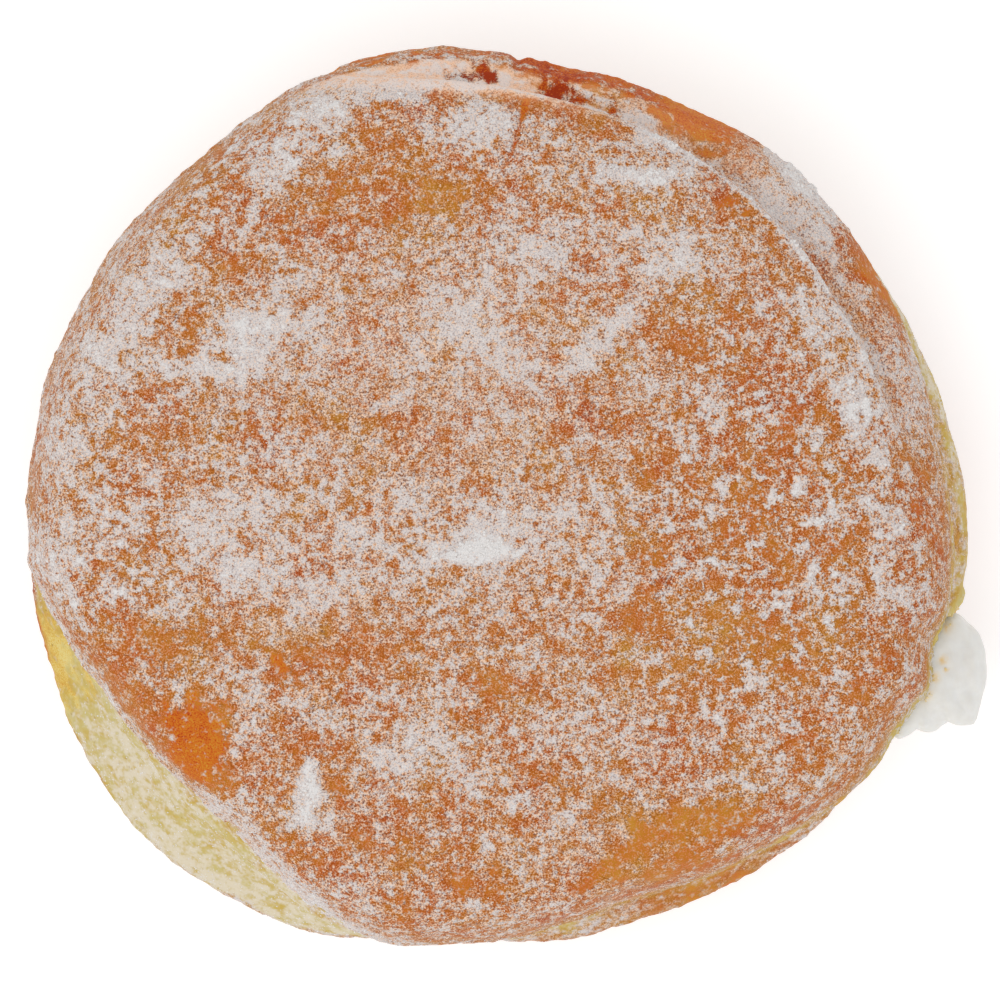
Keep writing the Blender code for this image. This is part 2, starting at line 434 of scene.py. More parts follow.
base = crust_points.copy()
up = normals_of(crust)
east, north = base[:, 0] - axis.x, base[:, 1] - axis.y
radius = np.hypot(east, north)
widest = np.zeros(TURNS)
np.maximum.at(widest, crust_azimuth.astype(int), radius)
in_from_outline = np.interp(crust_azimuth, np.arange(TURNS) + 0.5, widest) - radius
before_edge = edge_at(crust_azimuth) - crust_along
from_ridge = radius - ridge_radius(crust_azimuth)
print("points outside the ridge:", int((from_ridge > 0).sum()), "of", len(base))

# %% [markdown]
# ## The fold, its wrinkles and its crease
# Along the fold the skin gathered in fine wrinkles. They follow the ridge, sway a little and fade in
# and out, as they would on a sleeve, so a sine of the distance from the ridge is bent and broken by
# noise. One crease runs across the fold, from the side in over the face.

# %% Place the fold, the wrinkles and the crease
CREASE = ((3.0, 38.3), (1.5, 32.6))  # its ends, as (east, north) in mm
WRINKLE_WIDTH = 0.95 * MM
FOLD_AZIMUTH = 90.0  # middle of the wrinkled stretch


def beside_line(east, north, start, end):
    """(distance from a straight line on the face, share of the way along it)."""
    start, end = np.array(start) * MM, np.array(end) * MM
    away = np.stack([east, north], 1) - start
    run = end - start
    part = (away @ run) / (run @ run)
    nearest = np.clip(part, 0, 1)[:, None] * run
    return np.linalg.norm(away - nearest, axis=1), part


fold = fade(crust_azimuth, 2, 18) * (1 - fade(crust_azimuth, 94, 118))
crease_away, crease_part = beside_line(east, north, *CREASE)
crease_depth = (1 - fade(crease_part, 0.7, 1.15)) * fade(base[:, 2], 24 * MM, 30 * MM)
wrinkle_zone = bump(turned(crust_azimuth, FOLD_AZIMUTH), 34.0) * bump(from_ridge - 2.4 * MM, 2.2 * MM)
wrinkle_zone *= 0.25 + 0.75 * fade(layered_noise(base, 2.6 * MM, 2, 0.7, 27), -0.30, 0.20)
wrinkle_sway = 1.4 * MM * lattice_noise(base * (1, 1, 0.3), 7 * MM, 3)
wrinkles = np.sin(2 * np.pi * (from_ridge + wrinkle_sway) / WRINKLE_WIDTH)
print("points that a wrinkle touches:", int((wrinkle_zone > 0.1).sum()))

# %% [markdown]
# ## Swells and steps of the crust
# The face isn't a plain dome. It swells, steps down past the ridge into a furrow, puckers finely
# round the side and ends in a crisp lip. These are all shallow, so each is a height to add along the
# skin's normal. Sculpting would do it too, but could not be told in numbers.

# %% Shape the upper crust
NOTCH_AZIMUTH = 86.9  # a nick in the outline, where the fold meets the side
RIDGE_RISE, FURROW_DEPTH = 0.46 * MM, 1.25 * MM

height = 0.30 * MM * layered_noise(base, 17 * MM, 2, 0.6, 11)
height += 0.11 * MM * layered_noise(base, 5 * MM, 3, 0.6, 21)
furrow = bump(from_ridge - 1.55 * MM, 1.1 * MM)
height += fold * (RIDGE_RISE * bump(from_ridge, 0.60 * MM) - FURROW_DEPTH * furrow)
height += 0.09 * MM * wrinkle_zone * wrinkles
height += 0.08 * MM * layered_noise(base, 0.9 * MM, 2, 0.8, 23) * fade(radius, 39 * MM, 43 * MM)
height -= 0.28 * MM * crease_depth * bump(crease_away, 0.34 * MM)
notch = bump(turned(crust_azimuth, NOTCH_AZIMUTH), 0.8)
height -= 0.5 * MM * notch * fade(radius, 41 * MM, 42.5 * MM)
crisp_lip = 1 - 0.8 * share(crust_azimuth, (4.0, 30.0, 40.0))
uneven_lip = 1 + 0.7 * lattice_noise(base, 4 * MM, 5)
height += 0.30 * MM * crisp_lip * bump(before_edge - 0.6 * MM, 1.0 * MM) * uneven_lip
height[-1] = 0.0
shaped = base + up * height[:, None]
move_points(crust, shaped)
print("crust heights added in mm:", (height.min() / MM).round(2), "to", (height.max() / MM).round(2))

# %% [markdown]
# ## Where the sugar lies
# Fine sugar doesn't spread evenly: it sticks where the crust was damp, drifts into hollows and piles
# up in dabs. Noise alone would give drifts anywhere, so the ones that can be told apart are ellipses
# on the face, and noise only frays them. Each is (east, north, half length, half width, turn in
# degrees, change), in mm from the middle of the face. Their places were read off gridded maps of the
# real cover, and some of the fainter ones sit on cells of a printed grid of measured differences.

# %% Place the drifts
SUGAR_DRIFTS = (
    (-1.4, -5.2, 3.6, 1.05, 4, 1), (-1, -3.4, 3.4, 2.2, 15, 0.2), (1, -2, 7.5, 5, 0, 0.1),
    (-23.8, 16.8, 3.4, 2.2, 20, 0.34), (-24.2, 13.6, 1.5, 2.6, 0, 0.34),
    (-20.5, 16.8, 1.8, 1.2, 20, 0.25), (-30, 12.6, 4, 0.9, 0, 0.28), (-36.5, 17, 4.8, 1.9, 62, 0.26),
    (-33.5, 20.8, 2.6, 1.8, 50, 0.2), (-38.5, 12.8, 3, 2, 70, 0.18), (-21.5, 32.3, 3.6, 1.6, 68, 0.26),
    (-16.8, 37.8, 3, 1.6, 25, 0.3), (-24, 26.5, 3, 0.8, 60, 0.18), (-11.5, 40.4, 7.5, 1.5, 14, 0.26),
    (-5, 41.3, 3.5, 1.3, 0, 0.26), (-1.6, 36.2, 2.9, 2.2, 0, 0.48), (14.6, 31.2, 3, 0.8, 0, 0.75),
    (10.5, 31.4, 3.6, 1.2, 5, 0.24), (15.5, 36, 4.5, 1.4, -32, 0.3), (3.6, 23.2, 2, 2.2, 0, 0.24),
    (6, 25.5, 2.2, 1.5, 20, 0.15), (16.5, 22.6, 3.2, 1.7, 0, 0.24), (-3, 16.8, 2, 3.2, 15, 0.22),
    (9.6, 14.6, 3.2, 1.4, 40, 0.3), (12.5, 18, 1.6, 1.3, 40, 0.2), (30.6, 17.8, 3, 1.8, -50, 0.32),
    (34.6, 11.5, 4.2, 1.3, -68, 0.26), (34.8, 7.5, 1.4, 2, 0, 0.15), (28, 33.4, 3.6, 1.2, -42, 0.4),
    (-27.3, -1.6, 2.2, 2.4, 0, 0.24), (-22.6, -2.2, 1.8, 2.4, 0, 0.22), (-24, -7.2, 3.2, 1.5, 0, 0.28),
    (-17.2, -9.4, 1.8, 1.7, 0, 0.24), (-37, -2.5, 2.2, 1.6, 0, 0.18), (-43.5, -5.2, 2.5, 3, 0, 0.25),
    (-42.5, 7.5, 2, 5.5, 0, 0.18), (-8, -24.3, 3.8, 1.6, 8, 0.34), (-3.8, -26.8, 2.6, 1.2, -40, 0.24),
    (-16.2, -21.6, 2, 1, -20, 0.3), (-18.1, -28.8, 0.9, 2.6, -5, 0.75),
    (-18.9, -31.2, 1.6, 0.9, 0, 0.4), (31.2, -9.4, 1.4, 1.8, -25, 0.32), (38.4, -6.2, 1.6, 3, 0, 0.26),
    (40, -9.6, 1.6, 1.4, 0, 0.24), (35, -0.6, 2.4, 1.6, 0, 0.22), (21.6, -1.6, 0.9, 2.4, -28, 0.34),
    (20.8, 8, 1.2, 1.5, 0, 0.2), (26, 6.8, 2.4, 1, 40, 0.22), (26.4, -20.8, 2, 1.4, 0, 0.2),
    (8.2, -22, 3.6, 1.3, 35, 0.15), (26.4, -25, 1, 2.4, 0, 0.14), (-1.8, -34.6, 1.4, 2, 0, 0.24),
    (5.5, -34, 2, 2, 0, 0.15), (2.4, -29.4, 1.6, 0.9, 0, 0.25), (-8, 39.6, 3, 1, 8, 0.2),
    (6.5, 38.6, 4.2, 0.9, -14, 0.25), (13, 36, 2.4, 1.2, -30, 0.2), (-16, 35.5, 2.8, 2.2, 30, 0.14),
    (-29, 24, 2.2, 1.4, 20, 0.15), (-21.5, 14.2, 3.6, 2.2, 0, 0.12), (-7, 12.6, 1.6, 1.4, 0, 0.2),
    (-5, 17, 4.6, 3.6, 0, 0.09), (-31.5, -19.8, 2.4, 1.2, 30, 0.25), (-25.5, -23.8, 1.6, 1.6, 0, 0.24),
    (-26, -29, 2, 0.9, -30, 0.2), (33, 10.4, 1.3, 1.3, 0, 0.22), (18, -8, 1.4, 1.2, 0, 0.2),
    (23.5, 23.5, 1.9, 1.6, 0, 0.16), (-37, -10.2, 2.4, 1.5, 0, 0.15), (-7.5, 39.5, 6, 1.2, 8, 0.3),
    (16.6, 34.4, 2.4, 1.1, -35, 0.3), (1.2, 27.5, 1.4, 2.2, 0, 0.22), (-2, 23.5, 2.5, 1, 0, 0.16),
    (14.5, 25, 4, 2, 0, 0.15), (21, 22, 1.8, 1.6, 0, 0.18), (2, 13.5, 3, 2.2, -30, 0.28),
    (-1.5, 16, 2.4, 1.6, 0, 0.14), (8.8, 17.4, 1.6, 1.2, 0, 0.16), (29.5, 22.5, 1.6, 2, 0, 0.2),
    (34.6, 8, 1.4, 2.4, 0, 0.25), (-34, 17.4, 2.4, 1.6, 30, 0.2), (-20.1, 31.2, 1.4, 1.4, 0, 0.25),
    (-19.5, 20.3, 1.6, 1.2, 0, 0.16), (-15.5, 4.2, 3, 1.8, 0, 0.2), (-8, -0.3, 1.8, 1.8, 0, 0.22),
    (-12.3, -4.2, 2, 1.8, 0, 0.22), (-7.9, -6.4, 2.2, 1.8, 0, 0.22), (-27, -4.7, 1.8, 1.4, 0, 0.13),
    (-40.8, 2.7, 1.2, 2.2, 0, 0.16), (-40.5, -4.6, 1.4, 1.8, 0, 0.16), (-30.5, -10.6, 2, 0.8, -10, 0.3),
    (-30, -18.6, 2.6, 0.9, 0, 0.22), (-24, -23.9, 1.8, 1.2, 0, 0.2), (-11.3, -25.3, 1.6, 1.6, 0, 0.3),
    (-6.4, -22.9, 2.6, 1.2, 0, 0.13), (-15.2, -31.7, 1.6, 1.4, 0, 0.2), (14.7, -26.8, 1.8, 1.8, 0, 0.2),
    (12.3, -7.2, 1.8, 1.2, 0, 0.14), (12.3, 4.6, 1.6, 1.4, 0, 0.16), (4.9, -2.3, 2, 1.2, 0, 0.13),
    (37, -10.1, 3, 1.4, -20, 0.22), (37.8, -3.2, 1.8, 2.5, 0, 0.15), (-3.4, -10.6, 2.6, 1.2, 25, 0.14),
    (-9.3, -18, 1.4, 1.6, 0, 0.16), (0, -14.5, 1.6, 1.8, 0, 0.13), (-6.9, -32.2, 2.4, 1.8, 0, 0.14),
    (7.9, -32.2, 2.4, 1.8, 0, 0.12), (-2, 7.1, 2.4, 1.6, 0, 0.12), (-21.6, 12, 2.4, 1.6, 0, 0.12),
    (-35.6, -3, 2, 1.4, 0, 0.12), (12.8, -2.8, 2.4, 1.6, 0, 0.12), (-41.3, -7.7, 2, 2, 0, 0.14),
    (2.9, 21.8, 2.4, 1.6, 0, 0.12), (17.7, 21.8, 2.2, 1.8, 0, 0.12), (15, 12, 5, 2, 0, 0.09),
    (32, 30.5, 4.4, 1, -46, 0.22), (26.8, -27.5, 2.4, 1.6, 0, 0.12), (16, 39, 4, 0.9, -24, 0.16),
)
print(len(SUGAR_DRIFTS), "drifts of sugar")

# %% [markdown]
# ## Rubbed and bare patches
# Fingers and the tray rubbed the sugar off again in places, down to clean crust in a few. These are
# the same ellipses with a change below 0.

# %% Place the bare patches
BARE_PATCHES = (
    (-29, -23.6, 2.7, 4, 6, -0.95), (-32.8, -23.5, 2.4, 4, 25, -0.14), (-27, -27.5, 1.8, 1.2, 0, -0.5),
    (-35.2, -13.6, 3, 1.5, -30, -0.32), (-32, -16, 3.4, 1, -10, -0.28),
    (-35.5, -18.6, 1.2, 2.2, 35, -0.25), (-21, -16, 1.5, 0.5, -48, -0.8), (-11, 35, 3.2, 2.4, 0, -0.15),
    (-9, 30.5, 6, 2.2, 0, -0.18), (-17, 30.6, 3, 1.8, 0, -0.14), (-3, 29, 4, 1.8, 0, -0.14),
    (-28.4, 32.4, 1.4, 2.8, -30, -0.25), (-28.5, 28, 1.6, 1.6, 0, -0.15),
    (-25, 22.4, 3.2, 1.2, -5, -0.2), (-29.6, 16.6, 1, 2.4, -10, -0.2), (-32.4, 15.4, 0.9, 0.9, 0, -0.2),
    (8.8, 36.7, 5.6, 0.85, -14, -0.48), (1, 38.6, 2.6, 0.5, -10, -0.4),
    (-5.4, 39.1, 1.8, 0.6, -5, -0.55), (8, 42.6, 7, 0.9, -12, -0.3), (20, 37, 5.8, 1.7, -30, -0.82),
    (10.5, 41.2, 3.4, 0.8, -18, -0.28), (36.9, 21.7, 4.8, 1.15, -57, -0.9),
    (34.6, 19.8, 3.8, 0.36, -52, -0.6), (36.2, 18.4, 2.8, 0.36, -54, -0.6),
    (33.2, 18.8, 2, 0.3, -60, -0.45), (19, 15.3, 1.6, 2.6, 10, -0.2), (22.8, 17, 1, 2.4, 15, -0.2),
    (30, 7.4, 3.2, 1.6, 60, -0.22), (19, 3.2, 4, 1.6, 0, -0.18), (25.2, 0, 1.4, 3.2, 20, -0.22),
    (24.4, 2.3, 1, 0.7, 0, -0.3), (15, -5.5, 1.7, 1.6, 0, -0.25), (14.5, -11.6, 3, 1.4, 0, -0.2),
    (13.4, -17.2, 1.4, 1.8, 0, -0.18), (29, -6, 3, 1.6, 0, -0.15), (26, -13, 5, 1.6, -10, -0.18),
    (20, -15, 2.2, 1.6, 0, -0.16), (38.5, -15, 1.8, 1.8, 0, -0.2), (35.4, -19, 1.2, 2, 0, -0.15),
    (1.6, -18, 2.4, 1.4, 0, -0.14), (-2.2, -21.6, 2.4, 1, 0, -0.18), (4.5, -27, 3, 1.4, -25, -0.15),
    (20.5, -31.2, 4.6, 1.5, 4, -0.34), (13.8, -34, 3.2, 1.6, 42, -0.28), (9.4, -37, 1.6, 0.7, 40, -0.5),
    (-17, -15, 8, 1.8, 0, -0.13), (-10, -33.2, 6, 2, 0, -0.14), (-15, -28.6, 0.8, 1.4, 0, -0.2),
    (-4, -38, 2, 1.8, 0, -0.12), (-9.5, 5.8, 3.2, 1.3, -15, -0.1), (-19, 27, 2.8, 2.4, 0, -0.24),
    (-38, -15, 2.6, 1.8, -30, -0.2), (-19.5, -24.8, 5, 2.4, 0, -0.18), (-20.5, -33, 2.8, 2.2, 0, -0.2),
    (0.5, -17.5, 3.6, 2.2, 0, -0.14), (28, 7, 1.1, 2.8, 0, -0.2), (24, -3.2, 2, 1.2, 0, -0.2),
    (14, 4.5, 4, 2, 0, -0.12), (-17, -15.5, 1.4, 1.4, 0, -0.2), (22, 29.5, 1.5, 1.5, 0, -0.16),
    (-29, 16.5, 1.2, 2.2, 0, -0.12), (-35, 6, 3, 1.8, 0, -0.1), (-33, -4.6, 1.8, 1.1, 0, -0.15),
    (-36.6, 3.4, 1.4, 0.8, 0, -0.15), (-31.8, 2, 0.6, 3, 10, -0.12), (-9, 26.6, 4.5, 1.6, 0, -0.2),
    (7.4, 28.4, 2.4, 1.4, 0, -0.16), (8.2, 36.2, 1.6, 1.2, 0, -0.16),
    (-24.6, 27.5, 1.6, 2.4, -25, -0.2), (-18.2, 23.8, 1.8, 1.6, 0, -0.13),
    (24.6, 25.7, 1.4, 1.4, 0, -0.16), (15.7, 16.4, 1.6, 2.2, 0, -0.16), (25.5, 11.5, 3, 1.6, 40, -0.16),
    (-31, 6.1, 4, 1.4, 5, -0.2), (-15, 7.5, 9, 1.3, -3, -0.15), (4.8, 1.7, 1.8, 1.2, 0, -0.3),
    (-1.5, 3.1, 2, 1.2, 0, -0.13), (15.7, 8, 1.6, 1.2, -20, -0.16), (23, -2.6, 2.2, 1, 20, -0.25),
    (31.9, -4.4, 2.8, 1, -30, -0.25), (31.9, -7.7, 1, 1, 0, -0.25), (26, -17, 5, 1.8, 0, -0.22),
    (14.2, -14, 2, 1.6, 0, -0.12), (28.5, -24.4, 1.4, 1.8, 0, -0.18), (18.2, -35.7, 4, 1.2, 15, -0.3),
    (4.9, -33.7, 2, 1.4, 0, -0.16), (-3, -36, 1.4, 2.2, 0, -0.2), (-25.5, -31.2, 2, 1.2, -30, -0.25),
    (-30.5, -14, 3.2, 1.6, -10, -0.35), (-25.5, -12, 1.8, 1.4, 0, -0.16),
    (-35, -20, 1.6, 3.4, 30, -0.45), (-14.7, -18, 1.6, 2, 0, -0.16), (-17.2, -21.9, 1.4, 1.6, 0, -0.13),
    (-11.8, -12.6, 1.6, 1.2, 0, -0.14), (-5.4, -15, 1.8, 1, 20, -0.14),
    (34.9, 25.2, 2, 1.4, -60, -0.14), (37.6, 17.4, 3, 1.2, -66, -0.22), (39.2, 11, 3, 1.2, -75, -0.2),
    (24, 32.6, 2.4, 1.2, -40, -0.16), (-20, 37, 2.4, 1.2, 30, -0.16), (22.6, 7.1, 2.4, 1.8, 0, -0.1),
    (27.5, 7.1, 2, 1.8, 0, -0.08), (32.4, -12.6, 2.2, 1.8, 0, -0.12),
    (-21.6, -37.1, 2.4, 1.4, -30, -0.12), (-36.4, 19, 2, 1.6, 60, -0.1),
    (-10.5, 38, 2.4, 0.5, 4, -0.25),
)
print(len(BARE_PATCHES), "patches with less sugar")

# %% [markdown]
# ## Clots, film and burst spots
# Dry powder holds together in clots with crust between them, while powder that took up some fat
# lies as a smooth film. In the fold the skin burst in a few spots, which fried darker and took
# hardly any sugar. The frayed edge of every patch comes from noise in its distance.

# %% Add up placed patches
CLOTTED = (  # above 0 in clots, below 0 as a film
    (27.5, -4, 11, 17, 0, 0.32), (-4.5, 12, 15, 11, 0, -0.25), (-18, -12.6, 8, 3.5, 0, -0.25),
    (-37, -6, 6, 9, 0, 0.15), (-23, 33, 8, 4, 40, 0.2), (13, -34, 6, 4, 0, -0.25),
)
DARK_SPOTS = (
    (-1, 42, 0.9, 0.55, -6, 1.2), (-2.9, 41.7, 1.3, 0.4, -6, 0.7), (-0.2, 41.6, 0.5, 0.7, 0, 0.6),
    (5.9, 40.2, 0.9, 0.8, 30, 1), (6.7, 39.7, 0.7, 0.4, 60, 0.7), (8.6, 39.6, 0.9, 0.35, 0, 0.7),
    (11.9, 38.3, 0.45, 0.8, 15, 0.8), (31.6, 23.8, 0.7, 1.2, 35, 0.35), (35.4, 21.6, 0.6, 1, 35, 0.4),
)


def patches(east, north, placed, ragged_by=0.40, ragged_size=1.5 * MM):
    """The sum of the placed ellipses at each point, their edges made ragged by noise."""
    spots = np.stack([east, north, np.zeros_like(east)], 1)
    ragged = np.maximum(1 + ragged_by * layered_noise(spots, ragged_size, 2, 0.8, 31), 0.55)
    total = np.zeros(len(east))
    for x, y, half_length, half_width, turn, change in placed:
        c, s = math.cos(math.radians(turn)), math.sin(math.radians(turn))
        dx, dy = east / MM - x, north / MM - y
        far = np.hypot((dx * c + dy * s) / half_length, (dy * c - dx * s) / half_width)
        total += change * np.exp(-((far * ragged / 1.15) ** 3))
    return total


dark = patches(east, north, DARK_SPOTS, 0.7, 0.8 * MM)
print("points in burst spots:", int((dark > 0.3).sum()))

# %% [markdown]
# ## Film on the fold, shelf and lip
# Three stretches carry an even layer instead of clots: the fold beside the ridge, the shelf below it
# and the band along the crust's lower edge where the side leans out. Each is a mask from 0 to 1.
# The mask of clots is lowered on them, and is stored for the materials, which read it as `clotted`.

# %% Mask the film, the shelf and the lip
def along_crust(middle, back, on):
    """1 on a stretch of the crust's side, fading to 0 at its ends, in degrees."""
    return share(crust_azimuth, (middle, back, on))


def near_outline(full, none):
    """1 until `full` mm in from the outline, and 0 from `none` mm on."""
    return 1 - fade(in_from_outline, full * MM, none * MM)


def near_edge(full, none):
    """1 until `full` mm above the crust's lower edge, and 0 from `none` mm on."""
    return 1 - fade(before_edge, full * MM, none * MM)


even_film_and_painted_light = along_crust(95, 38, 48) * fade(from_ridge, -2.4 * MM, 0.4 * MM)
even_film_and_painted_light *= fade(in_from_outline, 0.5 * MM, 1.0 * MM)
# painted light: this stretch of the outline joins the film so that the material paints it lighter and
# drops its pore shade, since the lamp leaves it dim
even_film_and_painted_light += 0.45 * along_crust(62, 20, 12) * near_outline(2.4, 3.4)
even_film_and_painted_light *= 1 - np.clip(1.6 * dark, 0, 1)
lip_band = along_crust(238, 28, 22) * near_edge(2.5, 4.6)
shelf = fold * fade(from_ridge, 0.2 * MM, 0.9 * MM) * (1 - 0.6 * fade(from_ridge, 3.0 * MM, 5.0 * MM))
shelf *= 1 - 0.85 * fade(crust_azimuth, 48, 62)
clotted = 1 + patches(east, north, CLOTTED)
clotted *= (1 - 0.70 * even_film_and_painted_light) * (1 - 0.25 * shelf - 0.30 * lip_band)
store(crust, "clotted", clotted)
print("clotted from", clotted.min().round(2), "to", clotted.max().round(2))

# %% [markdown]
# ## Adding the sugar up
# `sugar` is the share of the surface under powder: 0 is clean crust, 1 is full cover, and more is a
# heap. It starts from an even dusting, a little more towards the side that faced the sieve, and gains
# the drifts, coarse and fine noise, and the rubbed patches. A rubbed patch still keeps a trace of
# sugar, unless it was wiped clean.

# %% Dust the face
EVEN_DUSTING = 0.455
LEFT_WHEN_RUBBED = 0.17
WIPED = -0.6  # a patch with less than this was wiped clean

sugar = np.full(len(base), EVEN_DUSTING)
sugar += 0.05 * fade(-east, 8 * MM, 20 * MM)
sugar -= 0.05 * fade(east, 8 * MM, 20 * MM) * fade(-north, -12 * MM, 4 * MM)
sugar += 1.12 * patches(east, north, SUGAR_DRIFTS)
blobs = fade(layered_noise(base, 2.1 * MM, 2, 0.6, 47), 0.26, 0.50)
sugar += np.clip(clotted - 1, 0, 0.32) * (2.3 * blobs - 0.46)
uneven_dust = 0.12 * layered_noise(base, 4.6 * MM, 2, 0.90, 41)
uneven_dust += 0.20 * layered_noise(base, 2.2 * MM, 3, 0.85, 45)
sugar += clotted * uneven_dust
rubbed = 1.2 * patches(east, north, BARE_PATCHES)
wiped = -1.2 * patches(east, north, [spot for spot in BARE_PATCHES if spot[-1] < WIPED])
sugar = np.maximum(sugar + rubbed, LEFT_WHEN_RUBBED - 0.56 * np.clip(wiped - 0.50, 0, 0.45))
print("mean share of the face under sugar:", sugar.mean().round(2))

# %% [markdown]
# ## Sugar on the fold
# The ridge is a high edge that caught a white line, and the face just inside it was left thinner. The
# film beside it never piles up, so it is held below full cover. Wrinkles and streaks then run
# through it: noise stretched along the fold and squeezed across it gives long thin lines.

# %% Dust the ridge and the fold
FILM_COVER = 0.74
STREAK_LENGTH = 12  # times their width

rim_line = bump(from_ridge + 0.1 * MM, 0.20 * MM) * fold
sugar += 0.60 * rim_line * (1 - 0.9 * bump(turned(crust_azimuth, 78), 9))
sugar -= 0.18 * bump(from_ridge + 1.3 * MM, 0.9 * MM) * along_crust(44, 24, 24)
sugar = np.where(even_film_and_painted_light > 0.3, np.minimum(sugar, FILM_COVER), sugar)
along_fold = np.radians(turned(crust_azimuth, FOLD_AZIMUTH)) * radius / STREAK_LENGTH
fold_place = np.stack([along_fold, from_ridge + wrinkle_sway, base[:, 2] / 4], 1)
streaks = np.clip(layered_noise(fold_place, 0.9 * MM, 2, 0.8, 29), -0.12, 0.13)
sugar += wrinkle_zone * (0.30 * np.minimum(wrinkles, 0.15) + 1.9 * streaks)
sugar += 0.29 * shelf - 0.6 * dark
sugar -= 0.60 * crease_depth * bump(crease_away, 0.30 * MM)
print("mean share under sugar with the fold:", sugar.mean().round(2))

# %% [markdown]
# ## Sugar round the outline and the lip
# Seen from above, the steep side shows as a narrow rim, and its sugar changes from stretch to stretch
# as the doughnut was turned in the sugar. Each row is a stretch of the side in degrees, how far in
# from the outline it reaches in full and at most in mm, and the change. The lower edge is whitest
# where the crust leans out, since that lip dragged through the sugar.

# %% Dust the outline and the lip
RIM_SUGAR = (  # (middle, back, on, in full to, at most to, change)
    (145, 16, 14, 1.0, 2.0, 0.08), (0, 12, 10, 4.0, 5.0, -0.07), (15, 10, 12, 1.8, 2.4, 0.10),
)
RIM_SPOTS = ((104, 10, 0.8, 1.6, -0.14), (45, 9, 0.6, 1.4, 0.46))  # (middle, reach, full, most, change)

for middle, back, on, full, most, change in RIM_SUGAR:
    sugar += change * along_crust(middle, back, on) * near_outline(full, most)
for middle, reach, full, most, change in RIM_SPOTS:
    sugar += change * bump(turned(crust_azimuth, middle), reach) * near_outline(full, most)
outer_strip = near_outline(0.6, 1.2) * along_crust(84, 30, 36)
sugar -= 0.24 * outer_strip
sugar += 0.13 * along_crust(88, 32, 32) * bump(in_from_outline - 3.4 * MM, 2.2 * MM)
grainy_side = near_outline(1.4, 2.6) * along_crust(84, 48, 50)
sugar += 0.32 * grainy_side * layered_noise(base, 0.75 * MM, 2, 0.8, 49)
sugar -= 0.05 * fade(-north, 20 * MM, 34 * MM)
sugar -= 0.10 * along_crust(178, 26, 30) * fade(radius, 43 * MM, 45 * MM)
sugar -= 0.10 * along_crust(305, 36, 36) * near_edge(2.0, 5.0)
lip_line = fade(crust_azimuth, 186, 194) * (1 - fade(crust_azimuth, 254, 266))
lip_width = 2.2 + 3.2 * along_crust(240, 24, 26)
sugar += 0.42 * lip_line * near_edge(lip_width, lip_width + 1.8) + 0.18 * lip_band
store(crust, "sugar", sugar)
print("mean share of the crust under sugar:", sugar.mean().round(2))

# %% [markdown]
# ## Laying the powder on
# A thick drift stands above the crust and throws a small shade, which colour alone can't give. So
# the skin is lifted by the sugar's thickness: a tenth of a millimetre under a dusting, and three
# times that under a heap, with a lumpy top.

# %% Lift the skin by the powder
DUSTING_THICK, HEAP_THICK = 0.11 * MM, 0.28 * MM

thickness = DUSTING_THICK * np.clip(sugar - 0.35, 0, 0.9) + HEAP_THICK * fade(sugar, 0.95, 1.6)
thickness *= 1 + 0.5 * layered_noise(base, 0.9 * MM, 2, 0.9, 51)
thickness[-1] = 0.0
move_points(crust, shaped + normals_of(crust) * thickness[:, None])
print("thickest powder in mm:", (thickness.max() / MM).round(2))

# %% [markdown]
# ## The waist and the base
# The second disc starts in the middle of the underside and runs up behind the crust's lip. Dough
# that sat in the fat is brown and blistered. The band between is pale crumb, with small pits. Near
# the crust's edge the disc is set in a little, so that the lip stands out over it.

# %% Bend the second disc under the first
BASE_RINGS = 180
BEHIND_LIP = 1.8 * MM

base_azimuth, base_ring, base_triangles = closed_disc(BASE_RINGS)
whole_turn = np.append(turns, 360.0)
whole_length = np.interp(base_azimuth, whole_turn, np.append(skin_length, skin_length[0]))
below_edge = whole_length - edge_at(base_azimuth)
below_edge -= base_ring / BASE_RINGS * (below_edge + BEHIND_LIP)
section = on_skin(base_azimuth, edge_at(base_azimuth) + below_edge)
inset = 0.55 * MM * (1 - fade(below_edge, 0.0, 2.0 * MM))
inset += 0.5 * MM * fade(-below_edge, 0.0, BEHIND_LIP)
base_radius = pushed_out(base_azimuth, section[:, 0] - inset, ON_BOTH + ON_WAIST)
bare_points = in_space(base_azimuth, base_radius, section[:, 1])
bare_points[-1] = (axis.x, axis.y, CRUST_EDGE_Z)
base_skin = mesh_object("waist_and_base", bare_points, base_triangles, flip=True)
print("waist and base:", len(base_triangles), "triangles")

# %% [markdown]
# ## The torn mouth
# The nozzle leaves a ragged hole in the pale band. First every point is measured from the middle of
# that hole, outwards, sideways and up, and then as a share of the way to the hole's torn edge. The
# edge is a rounded box rather than an ellipse, since the cream pressed its corners out.

# %% Measure from the mouth
mouth_turn = math.radians(MOUTH_AZIMUTH)
OUTWARD = np.array([math.cos(mouth_turn), math.sin(mouth_turn), 0.0])
ALONG = np.array([-math.sin(mouth_turn), math.cos(mouth_turn), 0.0])
MOUTH_Z = 17.4 * MM
MOUTH_WIDE, MOUTH_TALL = 6.6 * MM, 5.6 * MM  # half sizes
BOXY = 2.8  # 2 would be an ellipse
NOT_THE_MOUTH = 9.0


def from_mouth(points):
    """(outwards from the axis, sideways, up from the mouth's middle) of each point."""
    away = points - np.array([axis.x, axis.y, MOUTH_Z])
    return away @ OUTWARD, away @ ALONG, away[:, 2]


def from_hole(points, seed=61):
    """0 in the middle of the mouth, 1 on its torn edge."""
    outward, sideways, above = from_mouth(points)
    far = (np.abs(sideways / MOUTH_WIDE) ** BOXY + np.abs(above / MOUTH_TALL) ** BOXY) ** (1 / BOXY)
    far *= 1 + 0.10 * layered_noise(points, 2.6 * MM, 3, 0.7, seed)
    return np.where(outward > 20 * MM, far, NOT_THE_MOUTH)


hole = from_hole(bare_points)
print("points in the mouth:", int((hole < 1).sum()))

